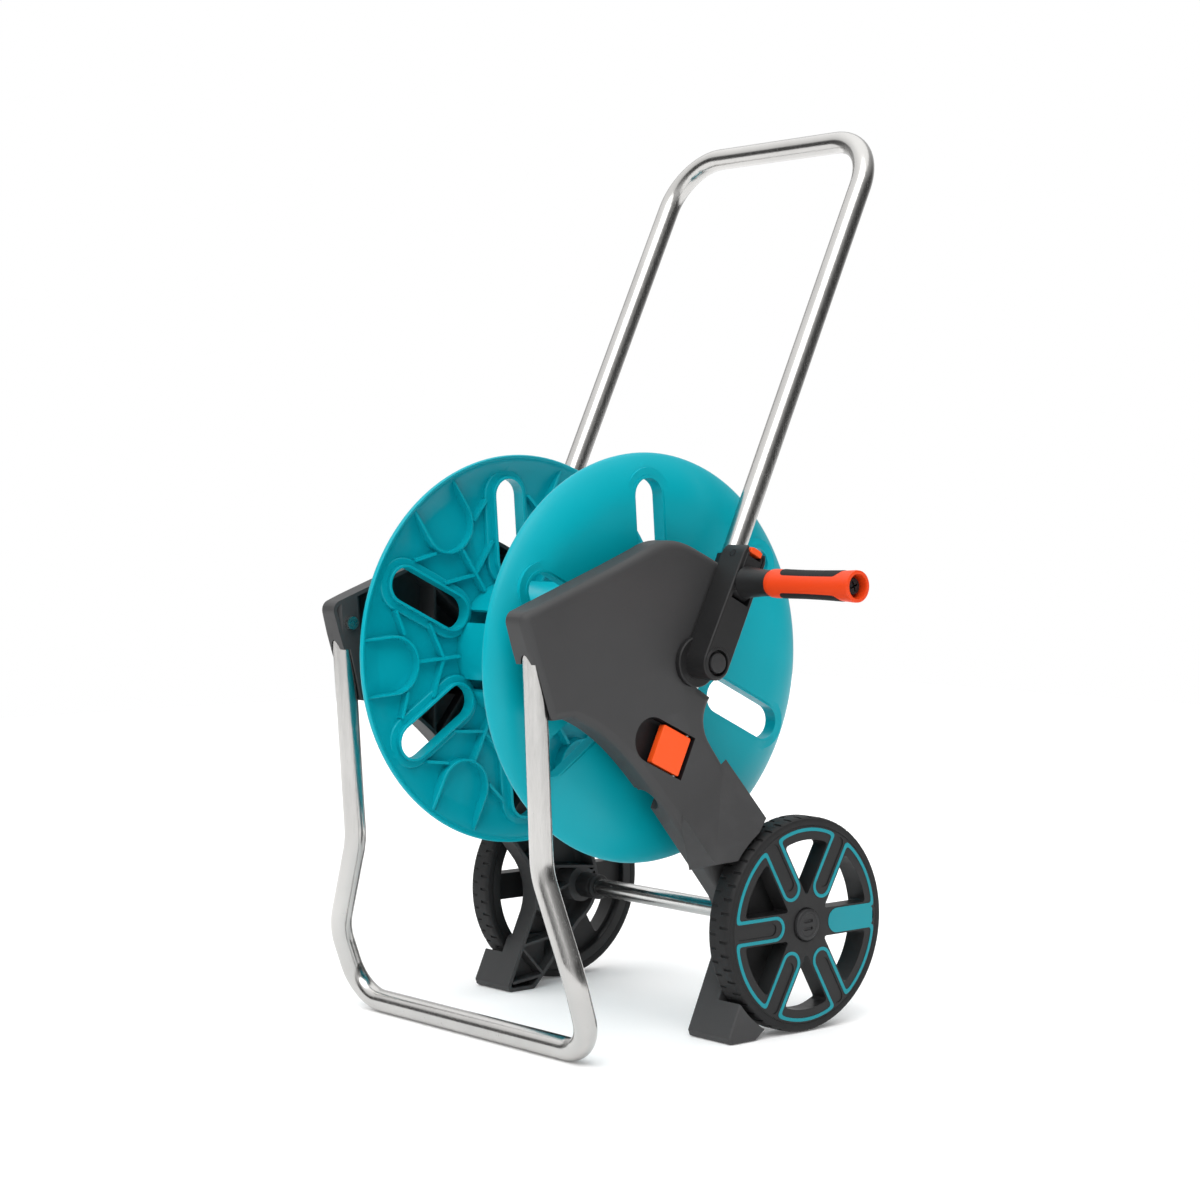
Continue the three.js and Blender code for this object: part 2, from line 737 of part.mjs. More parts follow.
const handlePlug = join(
  rod(handlePoint(handleLength - 18), handlePoint(handleLength + 1), handleInside - 1, 12),
  rod(handlePoint(handleLength + gap), handlePoint(handleLength + 5), handleRadius, 12),
);
placePair('handle_plug', handlePlug, blackPlastic(), handleEnd);

const handleBush = cut(
  rod(handlePoint(426), handlePoint(453.5), 13),
  rod(handlePoint(400), handlePoint(480), handleRadius + 0.6),
);
placePair('handle_bush', handleBush, blackPlastic(), handlePoint(440));

// ---------------------------------------------------------------- handle latches

const latchPivot = [latchPinX, ...latchPoint(5, 0)];
const latchPlate = prismX([
  latchPoint(-latchReach, latchHalf), latchPoint(7.3, latchHalf),
  latchPoint(7.3, -latchHalf), latchPoint(-latchReach, -latchHalf),
], recessFloor + 1.1, panelOuter - 0.5);
const latchPinHole = rod([latchPinX, ...latchPoint(5, 30)], [latchPinX, ...latchPoint(5, -30)], 1.8, 10);
const latchFingerCut = prismX([
  latchPoint(-latchReach + 3, latchHalf - 3), latchPoint(-6, latchHalf - 3),
  latchPoint(-6, -latchHalf + 3), latchPoint(-latchReach + 3, -latchHalf + 3),
], 140, 148);
placePair('latch_lever', cut(latchPlate, latchPinHole, latchFingerCut), orangePlastic(),
  latchPivot);
const latchPin = rod([latchPinX, ...latchPoint(5, 24)], [latchPinX, ...latchPoint(5, -24)], 1.5, 10);
placePair('latch_pin', latchPin, steel(), latchPivot);

// ---------------------------------------------------------------- crank

// A point on the crank: s along the arm from the drum's axis, n across it towards the back.
function crankPoint(s, n = 0) {
  const c = Math.cos(crankTilt * turn);
  const sn = Math.sin(crankTilt * turn);
  return [s * sn + n * c, drumZ + s * c - n * sn];
}

function crankRing(radius, s, from, to, steps) {
  const points = [];
  for (let k = 0; k <= steps; k += 1) {
    const bearing = (from + ((to - from) * k) / steps) * turn;
    points.push(crankPoint(s + radius * Math.sin(bearing), radius * Math.cos(bearing)));
  }
  return points;
}

const crankHalf = crankWidth / 2;
const cheek = 3.6;
const knuckleStart = 61;

function crankArm() {
  const outside = [
    ...crankRing(crankHalf, foldPinAt, 0, 180, 6),
    ...crankRing(crankHalf + 1, 0, 180, 360, 8),
  ];
  const block = prismX(outside, crankInner, crankOuter);
  const pocket = prismX([
    crankPoint(19, crankHalf - cheek), crankPoint(knuckleStart + 2, crankHalf - cheek),
    crankPoint(knuckleStart + 2, -crankHalf + cheek), crankPoint(19, -crankHalf + cheek),
  ], crankInner - 5, crankOuter - 3);
  const fork = prismX([
    crankPoint(knuckleStart - 3.5, crankHalf - cheek), crankPoint(130, crankHalf - cheek),
    crankPoint(130, -crankHalf + cheek), crankPoint(knuckleStart - 3.5, -crankHalf + cheek),
  ], crankInner - 5, crankOuter + 5);
  const collar = rodX(22, crankInner, crankInner + 5, 0, drumZ, 24);
  const pinHole = rod(
    [foldPinX, ...crankPoint(foldPinAt, 20)],
    [foldPinX, ...crankPoint(foldPinAt, -20)],
    3.3,
    10,
  );
  return cut(
    join(cut(block, pocket), collar),
    fork,
    pinHole,
    rodX(journalRadius + gap, 140, 172.5, 0, drumZ),
    rodX(3.4, 170, 200, 0, drumZ, 12),
    rodX(10 + gap, 177, 200, 0, drumZ, 24),
  );
}
place('crank_arm', crankArm(), blackPlastic(), [crankInner, 0, drumZ]);

const foldPin = rod(
  [foldPinX, ...crankPoint(foldPinAt, crankHalf)],
  [foldPinX, ...crankPoint(foldPinAt, -crankHalf)],
  3,
  10,
);
place('fold_pin', foldPin, steel(), [foldPinX, ...crankPoint(foldPinAt)]);

const crankScrew = join(
  rodX(3, 172.6, 177.6, 0, drumZ, 12),
  rodX(6, 177.3, 179, 0, drumZ, 12),
);
place('crank_screw', crankScrew, steel(), [177, 0, drumZ]);
place('crank_cap', rodX(10, 179.3, 183, 0, drumZ, 24), greyPlastic(), [181, 0, drumZ]);

// Unit direction in Y and Z, turned from across the crank arm by an angle in degrees.
function crankDirection(angle) {
  const bearing = (angle - crankTilt) * turn;
  return [Math.cos(bearing), Math.sin(bearing)];
}

// The knuckle sits between the fork's cheeks and carries the grip's spindle.
const knuckleHalf = crankHalf - cheek - gap;
const lockDepth = 3;

function knuckle() {
  const side = [
    [153, knuckleStart + 8], [160, knuckleStart], [crankOuter, knuckleStart],
    [crankOuter, 104], [153, 104],
  ];
  const outline = side.map(([x, s]) => new THREE.Vector2(x, s));
  const geometry = new THREE.ExtrudeGeometry(new THREE.Shape(outline), {
    depth: 2 * knuckleHalf,
    bevelEnabled: false,
  });
  const across = new THREE.Vector3(0, ...crankDirection(0));
  const along = new THREE.Vector3(0, ...crankDirection(90));
  const basis = new THREE.Matrix4().makeBasis(new THREE.Vector3(1, 0, 0), along, across.negate());
  geometry.applyMatrix4(basis.setPosition(0, ...crankPoint(0, knuckleHalf)));
  const neck = turnedX([
    [0, 176], [9.5, 176], [9.5, crankOuter + gap], [14, crankOuter + gap], [14, 184],
    [11, gripStart - gap], [0, gripStart - gap],
  ], ...crankPoint(gripAt), 24);
  const lockWell = prismX([
    crankPoint(104 - lockDepth - 3, 7 + gap), crankPoint(110, 7 + gap),
    crankPoint(110, -7 - gap), crankPoint(104 - lockDepth - 3, -7 - gap),
  ], 171.5, 190);
  return cut(
    join(solid(geometry), neck),
    rod([foldPinX, ...crankPoint(foldPinAt, 20)], [foldPinX, ...crankPoint(foldPinAt, -20)], 3.1, 12),
    lockWell,
    rodX(5 + gap, 165, 210, ...crankPoint(gripAt), 16),
  );
}

place('grip_knuckle', knuckle(), blackPlastic(), [foldPinX, ...crankPoint(foldPinAt)]);

const lockButton = prismX([
  crankPoint(104 - 2.5, 7), crankPoint(107, 7), crankPoint(107, -7), crankPoint(104 - 2.5, -7),
], 172, 180.5);
place('fold_lock', lockButton, orangePlastic(), [176, ...crankPoint(104)]);

const gripCentre = crankPoint(gripAt);
const spindle = rodX(5, 168, gripEnd - 14, ...gripCentre, 16);
place('grip_spindle', cut(spindle, rodX(2.4, gripEnd - 40, gripEnd, ...gripCentre, 10)), steel(),
  [gripStart, ...gripCentre]);

const gripProfile = [
  [5.5, gripStart], [11.5, gripStart], [12, gripStart + 6], [13, gripEnd - 18], [13.6, gripEnd - 1],
  [12.6, gripEnd], [10, gripEnd], [10, gripEnd - 12], [5.5, gripEnd - 12],
];
const insetAngle = 32;

function gripInset(middle, grow) {
  const points = [];
  const inner = 10.6 - grow;
  const outer = 15 + grow;
  const half = insetAngle * turn + grow / 12;
  for (let k = -3; k <= 3; k += 1) {
    const bearing = middle + (half * k) / 3;
    points.push([gripCentre[0] + outer * Math.cos(bearing), gripCentre[1] + outer * Math.sin(bearing)]);
  }
  for (let k = 3; k >= -3; k -= 1) {
    const bearing = middle + (half * k) / 3;
    points.push([gripCentre[0] + inner * Math.cos(bearing), gripCentre[1] + inner * Math.sin(bearing)]);
  }
  return prismX(points, gripStart + 12 - grow, gripEnd - 16 + grow);
}

const gripCore = turnedX(gripProfile, ...gripCentre, 16);
const gripSkin = turnedX([
  [0, gripStart], [11.5, gripStart], [12, gripStart + 6],
  [13, gripEnd - 18], [13.6, gripEnd - 1], [0, gripEnd],
], ...gripCentre, 16);
place('grip_sleeve', cut(gripCore, gripInset(90 * turn, gap), gripInset(-90 * turn, gap)),
  orangePlastic(), [gripStart, ...gripCentre]);
place('grip_pad_top', gripInset(90 * turn, 0).intersect(gripSkin), softRubber(), [250, ...gripCentre]);
place('grip_pad_bottom', gripInset(-90 * turn, 0).intersect(gripSkin), softRubber(), [250, ...gripCentre]);

const gripScrew = join(
  rodX(2, gripEnd - 34, gripEnd - 10.5, ...gripCentre, 10),
  rodX(7.5, gripEnd - 12 + gap, gripEnd - 8, ...gripCentre, 16),
);
place('grip_screw', gripScrew, steel(), [gripEnd - 10, ...gripCentre]);

// ---------------------------------------------------------------- water inlet

// A housing that swivels on the end of the water shaft, with a hose nipple to the front and down.
const inletX = -172;
const inletTilt = -125 * turn;

function inletRay(radius) {
  return [inletX, radius * Math.cos(inletTilt), drumZ + radius * Math.sin(inletTilt)];
}

const inletHousing = cut(
  join(
    turnedX([[0, -152.5], [17, -152.5], [17, -180], [14, -184], [0, -184]], 0, drumZ, 16),
    rod(inletRay(0), inletRay(58), 9),
    rod(inletRay(24), inletRay(30), 13),
    rod(inletRay(44), inletRay(47), 10.5),
  ),
  turnedX([[0, -150], [12, -150], [12, -169], [7, -173], [7, -179], [0, -179]], 0, drumZ, 16),
  rod(inletRay(0), inletRay(70), 5.5, 10),
);
place('inlet_housing', inletHousing, blackPlastic(), [inletX, 0, drumZ]);
['inner', 'outer'].forEach((name, i) => {
  const x = -156 - 7 * i;
  place(`inlet_seal_${name}`, ringX(journalRadius + 0.3, 11.7, x - 3, x, 0, drumZ), softRubber(),
    [x, 0, drumZ]);
});

// ---------------------------------------------------------------- origin

// The finished cart stands on the ground with its origin under the middle of its outer box.
const outerBox = new THREE.Box3().setFromObject(cart);
const middle = outerBox.getCenter(new THREE.Vector3());
cart.position.set(-middle.x, -middle.y, -outerBox.min.z);
cart.updateMatrixWorld(true);

export default cart;
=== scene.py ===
import math

import bmesh
import bpy
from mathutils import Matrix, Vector


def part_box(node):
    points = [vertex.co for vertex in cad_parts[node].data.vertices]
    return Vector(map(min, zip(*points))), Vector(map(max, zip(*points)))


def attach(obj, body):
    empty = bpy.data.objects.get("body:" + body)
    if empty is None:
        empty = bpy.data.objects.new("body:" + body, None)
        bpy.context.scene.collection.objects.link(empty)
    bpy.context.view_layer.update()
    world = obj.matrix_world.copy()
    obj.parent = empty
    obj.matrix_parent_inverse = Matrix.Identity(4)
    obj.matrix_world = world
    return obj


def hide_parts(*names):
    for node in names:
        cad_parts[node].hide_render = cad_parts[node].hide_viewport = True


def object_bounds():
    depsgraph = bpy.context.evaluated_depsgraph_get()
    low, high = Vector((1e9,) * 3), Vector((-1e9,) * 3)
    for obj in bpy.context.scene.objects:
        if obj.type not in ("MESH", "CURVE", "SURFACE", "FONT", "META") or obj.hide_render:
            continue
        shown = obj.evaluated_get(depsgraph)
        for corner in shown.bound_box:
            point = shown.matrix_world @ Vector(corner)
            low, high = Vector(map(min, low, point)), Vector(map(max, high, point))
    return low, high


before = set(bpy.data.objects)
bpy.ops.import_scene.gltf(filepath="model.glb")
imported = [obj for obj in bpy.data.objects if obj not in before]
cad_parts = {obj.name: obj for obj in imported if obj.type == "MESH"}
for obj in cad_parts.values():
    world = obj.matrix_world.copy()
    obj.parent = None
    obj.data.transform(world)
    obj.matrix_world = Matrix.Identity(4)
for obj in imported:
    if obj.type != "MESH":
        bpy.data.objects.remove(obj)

# Garden hose reel cart. Shapes are worked out in millimetres in the cart's own axes: X from the
# middle of the drum towards the crank, Y to the back, Z up from the ground. to_row() gives the
# row frame in metres.

cad_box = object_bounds()
drum_lo, drum_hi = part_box("drum_core")
axle_lo, axle_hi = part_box("axle_tube")
WHEEL_R = 95.0
AXLE_Y = 107.5
OFFSET = Vector((
    (drum_lo.x + drum_hi.x) / 2,
    (axle_lo.y + axle_hi.y) / 2 - AXLE_Y / 1000,
    (axle_lo.z + axle_hi.z) / 2 - WHEEL_R / 1000,
))


def to_row(x, y, z):
    return Vector((x, y, z)) / 1000 + OFFSET


# ---- camera

CAMERA_AZIMUTH = math.radians(49.71)
CAMERA_ELEVATION = math.radians(2.28)
camera_data = bpy.data.cameras.new("camera")
camera = bpy.data.objects.new("camera", camera_data)
bpy.context.scene.collection.objects.link(camera)
camera_data.sensor_width = 36.0
camera_data.lens = 76.5
camera_data.shift_y = -0.004
camera_data.clip_end = 50.0
camera.location = to_row(1765.2, -1473.8, 473.9)
view_back = Vector((
    math.sin(CAMERA_AZIMUTH) * math.cos(CAMERA_ELEVATION),
    -math.cos(CAMERA_AZIMUTH) * math.cos(CAMERA_ELEVATION),
    math.sin(CAMERA_ELEVATION),
))
camera.rotation_mode = "QUATERNION"
camera.rotation_quaternion = (-view_back).to_track_quat("-Z", "Y")
bpy.context.scene.camera = camera


# ---- materials

def new_material(name):
    material = bpy.data.materials.new(name)
    material.use_nodes = True
    nodes = material.node_tree.nodes
    return material, nodes, material.node_tree.links, nodes["Principled BSDF"]


def noise(nodes, links, coords, scale, detail=3.0, rough=0.5):
    node = nodes.new("ShaderNodeTexNoise")
    node.inputs["Scale"].default_value = scale
    node.inputs["Detail"].default_value = detail
    node.inputs["Roughness"].default_value = rough
    links.new(coords, node.inputs["Vector"])
    return node.outputs["Fac"]


def ramp(nodes, links, fac, low, high, start=0.3, end=0.7):
    node = nodes.new("ShaderNodeMapRange")
    node.inputs["From Min"].default_value = start
    node.inputs["From Max"].default_value = end
    node.inputs["To Min"].default_value = low
    node.inputs["To Max"].default_value = high
    links.new(fac, node.inputs["Value"])
    return node.outputs["Result"]


def mix_colour(nodes, links, fac, first, second):
    node = nodes.new("ShaderNodeMix")
    node.data_type = "RGBA"
    node.inputs["A"].default_value = (*first, 1)
    node.inputs["B"].default_value = (*second, 1)
    links.new(fac, node.inputs["Factor"])
    return node.outputs["Result"]


def stops(nodes, links, fac, values):
    """A grey ramp through (position, value) pairs."""
    node = nodes.new("ShaderNodeValToRGB")
    elements = node.color_ramp.elements
    elements.remove(elements[1])
    elements[0].position = values[0][0]
    elements[0].color = (*[values[0][1]] * 3, 1)
    for position, value in values[1:]:
        elements.new(position).color = (value, value, value, 1)
    links.new(fac, node.inputs["Fac"])
    return node.outputs["Color"]


def shade(colour, factor):
    return tuple(min(1.0, c * factor) for c in colour)


def edge_wear(nodes, links, coords):
    """White along worn convex edges, broken up by noise."""
    geometry = nodes.new("ShaderNodeNewGeometry")
    edge = ramp(nodes, links, geometry.outputs["Pointiness"], 0.0, 1.0, 0.53, 0.6)
    patches = ramp(nodes, links, noise(nodes, links, coords, 45.0, 4.0), 0.0, 0.6, 0.45, 0.7)
    both = nodes.new("ShaderNodeMath")
    both.operation = "MULTIPLY"
    links.new(edge, both.inputs[0])
    links.new(patches, both.inputs[1])
    return both.outputs[0]


def plastic(name, colour, roughness, grain=0.05, grain_scale=1900.0, spread=0.07, gloss=0.3):
    """Moulded plastic: fine spark grain, faint flow marks, uneven gloss, a little dust and wear."""
    material, nodes, links, shader = new_material(name)
    coords = nodes.new("ShaderNodeTexCoord").outputs["Object"]
    broad = noise(nodes, links, coords, 9.0, 3.0)
    tint = mix_colour(
        nodes, links, ramp(nodes, links, broad, 0.0, 1.0),
        shade(colour, 1 - spread), shade(colour, 1 + spread),
    )
    worn = mix_colour(nodes, links, edge_wear(nodes, links, coords), colour, shade(colour, 1.7))
    join = nodes.new("ShaderNodeMix")
    join.data_type = "RGBA"
    join.inputs["Factor"].default_value = 0.35
    links.new(tint, join.inputs["A"])
    links.new(worn, join.inputs["B"])
    links.new(join.outputs["Result"], shader.inputs["Base Color"])
    smudge = noise(nodes, links, coords, 24.0, 5.0, 0.6)
    links.new(
        ramp(nodes, links, smudge, roughness - 0.05, roughness + 0.07), shader.inputs["Roughness"]
    )
    bump = nodes.new("ShaderNodeBump")
    bump.inputs["Strength"].default_value = grain
    bump.inputs["Distance"].default_value = 0.0004
    links.new(noise(nodes, links, coords, grain_scale, 2.0), bump.inputs["Height"])
    flow = nodes.new("ShaderNodeBump")
    flow.inputs["Strength"].default_value = 0.04
    flow.inputs["Distance"].default_value = 0.004
    links.new(noise(nodes, links, coords, 13.0, 2.0), flow.inputs["Height"])
    links.new(bump.outputs["Normal"], flow.inputs["Normal"])
    links.new(flow.outputs["Normal"], shader.inputs["Normal"])
    shader.inputs["Specular IOR Level"].default_value = gloss
    return material


def bright_steel(name, colour, roughness, stretch):
    """Plated tube: fine draw lines along the tube, faint clouding and small marks."""
    material, nodes, links, shader = new_material(name)
    coords = nodes.new("ShaderNodeTexCoord").outputs["Object"]
    lines = nodes.new("ShaderNodeMapping")
    lines.inputs["Scale"].default_value = stretch
    links.new(coords, lines.inputs["Vector"])
    fine = noise(nodes, links, lines.outputs["Vector"], 60.0, 4.0, 0.6)
    cloud = noise(nodes, links, coords, 16.0, 3.0)
    tint = mix_colour(
        nodes, links, ramp(nodes, links, cloud, 0.0, 1.0), shade(colour, 0.93), shade(colour, 1.05),
    )
    links.new(tint, shader.inputs["Base Color"])
    gloss = ramp(nodes, links, fine, roughness - 0.05, roughness + 0.08)
    links.new(gloss, shader.inputs["Roughness"])
    bump = nodes.new("ShaderNodeBump")
    bump.inputs["Strength"].default_value = 0.05
    bump.inputs["Distance"].default_value = 0.0003
    links.new(fine, bump.inputs["Height"])
    links.new(bump.outputs["Normal"], shader.inputs["Normal"])
    shader.inputs["Metallic"].default_value = 1.0
    return material


TEAL_MAT = plastic("teal_plastic", (0.0, 0.36, 0.435), 0.34, 0.03, 1500.0, 0.05, 0.2)
TEAL_INLAY = plastic("teal_inlay", (0.001, 0.25, 0.3), 0.4, 0.03, 1500.0)
GREY_MAT = plastic("grey_plastic", (0.046, 0.046, 0.047), 0.52, 0.22, 1300.0, 0.08)
CAP_MAT = plastic("cap_grey_plastic", (0.026, 0.026, 0.027), 0.5, 0.15, 1500.0, 0.08)
BLACK_MAT = plastic("black_plastic", (0.013, 0.013, 0.0135), 0.44, 0.16, 1500.0, 0.1)
# near-black plastic for small dark parts, also used as painted shade in the latch recesses
BLACK_AND_SHADE_MAT = plastic("black_plastic_and_painted_shade", (0.01, 0.01, 0.011), 0.5, 0.1, 1500.0, 0.1)
ORANGE_MAT = plastic("orange_plastic", (0.96, 0.092, 0.01), 0.42, 0.06, 1500.0, 0.04)
GRIP_MAT = plastic("grip_orange_plastic", (0.76, 0.055, 0.006), 0.46, 0.1, 1400.0, 0.04)
RUBBER_MAT = plastic("black_rubber", (0.01, 0.01, 0.0105), 0.7, 0.4, 900.0, 0.12)
TYRE_MAT = plastic("tyre_rubber", (0.012, 0.012, 0.0125), 0.62, 0.45, 700.0, 0.15)
TUBE_MAT = bright_steel("bright_steel_tube", (0.5, 0.492, 0.48), 0.2, (14.0, 14.0, 1.0))
AXLE_MAT = bright_steel("axle_steel", (0.6, 0.6, 0.59), 0.2, (1.0, 14.0, 14.0))
PLATED_MAT = bright_steel("plated_steel", (0.5, 0.5, 0.485), 0.28, (6.0, 6.0, 6.0))


# ---- meshes

def place(name, data):
    obj = bpy.data.objects.new(name, data)
    bpy.context.scene.collection.objects.link(obj)
    return obj


def placed_bmesh(name, made):
    mesh = bpy.data.meshes.new(name)
    made.to_mesh(mesh)
    made.free()
    return place(name, mesh)


def mesh_object(name, verts, faces):
    mesh = bpy.data.meshes.new(name)
    mesh.from_pydata([to_row(*v) for v in verts], [], faces)
    made = bmesh.new()
    made.from_mesh(mesh)
    bmesh.ops.remove_doubles(made, verts=made.verts, dist=1e-7)
    bmesh.ops.recalc_face_normals(made, faces=made.faces)
    made.to_mesh(mesh)
    made.free()
    return place(name, mesh)


def loft(name, rings):
    """A closed body through rings of equally many points, joined side by side."""
    count = len(rings[0])
    verts = [p for ring in rings for p in ring]
    faces = []
    for k in range(len(rings) - 1):
        for i in range(count):
            j = (i + 1) % count
            faces.append((k * count + i, k * count + j, (k + 1) * count + j, (k + 1) * count + i))
    faces.append(tuple(range(count - 1, -1, -1)))
    faces.append(tuple(range((len(rings) - 1) * count, len(rings) * count)))
    return mesh_object(name, verts, faces)


def lathe(name, profile, y=0.0, z=0.0, steps=96):
    """A closed profile of (radius, x) points turned about the line through (y, z) along X."""
    verts, faces = [], []
    rows = []
    for r, x in profile:
        if r < 1e-6:
            rows.append([len(verts)] * steps)
            verts.append((x, y, z))
            continue
        rows.append(list(range(len(verts), len(verts) + steps)))
        for k in range(steps):
            a = 2 * math.pi * k / steps
            verts.append((x, y + r * math.cos(a), z + r * math.sin(a)))
    for n in range(len(rows)):
        a, b = rows[n], rows[(n + 1) % len(rows)]
        if a[0] == a[1] and b[0] == b[1]:
            continue
        for k in range(steps):
            j = (k + 1) % steps
            face = []
            for v in (a[k], a[j], b[j], b[k]):
                if v not in face:
                    face.append(v)
            faces.append(tuple(face))
    return mesh_object(name, verts, faces)


def rounded(points, steps=6):
    """An outline from corners (y, z, radius): each corner with a radius becomes an arc."""
    out = []
    count = len(points)
    for i, corner in enumerate(points):
        radius = corner[2] if len(corner) > 2 else 0
        here = Vector(corner[:2])
        if not radius:
            out.append(tuple(here))
            continue
        before = Vector(points[i - 1][:2]) - here
        after = Vector(points[(i + 1) % count][:2]) - here
        half = before.angle(after) / 2
        reach = min(radius / math.tan(half), before.length * 0.49, after.length * 0.49)
        radius = reach * math.tan(half)
        centre = here + (before.normalized() + after.normalized()).normalized() * (
            radius / math.sin(half)
        )
        start = here + before.normalized() * reach - centre
        end = here + after.normalized() * reach - centre
        turn = start.angle_signed(end)
        base = math.atan2(start.y, start.x)
        for k in range(steps + 1):
            a = base - turn * k / steps
            out.append((centre.x + radius * math.cos(a), centre.y + radius * math.sin(a)))
    return out


def area(outline):
    total = 0.0
    for i, (y, z) in enumerate(outline):
        ny, nz = outline[(i + 1) % len(outline)]
        total += y * nz - ny * z
    return total / 2


def inset(outline, distance):
    side = distance if area(outline) > 0 else -distance
    count = len(outline)
    out = []
    for i in range(count):
        here = Vector(outline[i])
        a = (here - Vector(outline[i - 1])).normalized()
        b = (Vector(outline[(i + 1) % count]) - here).normalized()
        normal = Vector((-a.y - b.y, a.x + b.x)).normalized()
        reach = side / max(0.5, normal.dot(Vector((-a.y, a.x))))
        out.append((here.x + normal.x * reach, here.y + normal.y * reach))
    return out


def merge_closed(points, moved, index):
    """Joins neighbours whose edge has turned over, and says where each first point has gone."""
    count = len(points)
    closed = []
    for i in range(count):
        j = (i + 1) % count
        old, new = points[j] - points[i], moved[j] - moved[i]
        closed.append(old.dot(new) <= 0 or new.length < 0.03)
    if not any(closed) or all(closed):
        return moved, index
    first = next(i for i in range(count) if not closed[i - 1])
    groups, current = [], []
    for step in range(count):
        i = (first + step) % count
        current.append(i)
        if not closed[i]:
            groups.append(current)
            current = []
    where = {}
    merged = []
    for group in groups:
        for i in group:
            where[i] = len(merged)
        merged.append(sum((moved[i] for i in group), Vector((0, 0))) / len(group))
    return merged, [where[i] for i in index]


def shrunk(outline, distances):
    """The outline at each of the rising distances inwards, its small corners closing up."""
    points = [Vector(p) for p in outline]
    index = list(range(len(points)))
    rings, done = [], 0.0
    for distance in distances:
        while done < distance - 1e-6:
            step = min(0.4, distance - done)
            moved = [Vector(p) for p in inset([tuple(p) for p in points], step)]
            points, index = merge_closed(points, moved, index)
            done += step
        rings.append([tuple(points[i]) for i in index])
    return rings


def prism(name, outline, x0, x1, soft0=0.0, soft1=0.0, steps=4):
    """An outline in Y and Z drawn out along X, with a rolled edge at either end."""
    rings = []
    angles = [math.pi / 2 * k / steps for k in range(steps + 1)]
    if soft0:
        insets = shrunk(outline, [soft0 * (1 - math.cos(a)) for a in angles])
        for a, ring in reversed(list(zip(angles, insets))):
            rings.append([(x0 + soft0 * (1 - math.sin(a)), y, z) for y, z in ring])
    else:
        rings.append([(x0, y, z) for y, z in outline])
    if soft1:
        insets = shrunk(outline, [soft1 * (1 - math.cos(a)) for a in angles])
        for a, ring in zip(angles, insets):
            rings.append([(x1 - soft1 * (1 - math.sin(a)), y, z) for y, z in ring])
    else:
        rings.append([(x1, y, z) for y, z in outline])
    return loft(name, rings)


def stadium(y, z, length, width, angle, steps=14):
    radius = width / 2
    reach = length / 2 - radius
    c, s = math.cos(math.radians(angle)), math.sin(math.radians(angle))
    out = []
    for end in (1, -1):
        for i in range(steps + 1):
            bearing = (i / steps - 0.5) * math.pi + (0 if end > 0 else math.pi)
            u = end * reach + radius * math.cos(bearing)
            v = radius * math.sin(bearing)
            out.append((y + u * c - v * s, z + u * s + v * c))
    return out


def combine(base, tools, operation):
    """Booleans the tools into base one after another, and removes them."""
    for tool in tools:
        modifier = base.modifiers.new("combine", "BOOLEAN")
        modifier.operation = operation
        modifier.solver = "MANIFOLD"
        modifier.object = tool
        graph = bpy.context.evaluated_depsgraph_get()
        graph.update()
        mesh = bpy.data.meshes.new_from_object(base.evaluated_get(graph))
        old = base.data
        base.modifiers.clear()
        base.data = mesh
        bpy.data.meshes.remove(old)
        bpy.data.objects.remove(tool, do_unlink=True)
    return base


def union(base, *tools):
    return combine(base, tools, "UNION")


def cut(base, *tools):
    return combine(base, tools, "DIFFERENCE")


def common(base, tool):
    return combine(base, [tool], "INTERSECT")


def soften(obj, width, angle):
    """Rounds the hard edges in the mesh itself."""
    modifier = obj.modifiers.new("round_edges", "BEVEL")
    modifier.width = width / 1000
    modifier.segments = 2
    modifier.limit_method = "ANGLE"
    modifier.angle_limit = math.radians(angle)
    modifier.use_clamp_overlap = True
    modifier.miter_outer = "MITER_ARC"


def finish_piece(obj, material, body, slot, replaced, bevel, angle):
    """Gives a piece its material, shading and rounded edges, and ties it to the frame."""
    obj.data.materials.clear()
    obj.data.materials.append(material)
    obj.data.shade_smooth()
    obj.data.set_sharp_from_angle(angle=math.radians(angle))
    if bevel:
        soften(obj, bevel, angle)
    weigh = obj.modifiers.new("even_shading", "WEIGHTED_NORMAL")
    weigh.keep_sharp = True
    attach(obj, body)
    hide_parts(*replaced)


def reflect(obj):
    """Moves a piece to the other side of the cart's middle plane."""
    for vertex in obj.data.vertices:
        vertex.co.x = 2 * OFFSET.x - vertex.co.x
    obj.data.flip_normals()
    return obj


def mirrored(obj, name):
    """The same piece on the other side as well."""
    return reflect(place(name, obj.data.copy()))


def circle(centre, side, up, radius, steps):
    turns = [2 * math.pi * k / steps for k in range(steps)]
    return [tuple(centre + (side * math.cos(a) + up * math.sin(a)) * radius) for a in turns]


def rod(name, start, end, radius, steps=24):
    a, b = Vector(start), Vector(end)
    axis = (b - a).normalized()
    side = axis.orthogonal().normalized()
    up = axis.cross(side)
    return loft(name, [circle(p, side, up, radius, steps) for p in (a, b)])


def bent_path(corners, radius, steps):
    """Points along straight runs with rounded corners."""
    out = [Vector(corners[0])]
    for i in range(1, len(corners) - 1):
        here = Vector(corners[i])
        before = Vector(corners[i - 1]) - here
        after = Vector(corners[i + 1]) - here
        half = before.angle(after) / 2
        reach = min(radius / math.tan(half), before.length * 0.48, after.length * 0.48)
        bulge = reach * math.tan(half)
        centre = here + (before.normalized() + after.normalized()).normalized() * (
            bulge / math.sin(half)
        )
        a = here + before.normalized() * reach - centre
        b = here + after.normalized() * reach - centre
        sweep = a.angle(b)
        for k in range(steps + 1):
            t = k / steps
            out.append(centre + a * (math.sin((1 - t) * sweep) / math.sin(sweep))
                       + b * (math.sin(t * sweep) / math.sin(sweep)))
    out.append(Vector(corners[-1]))
    return out


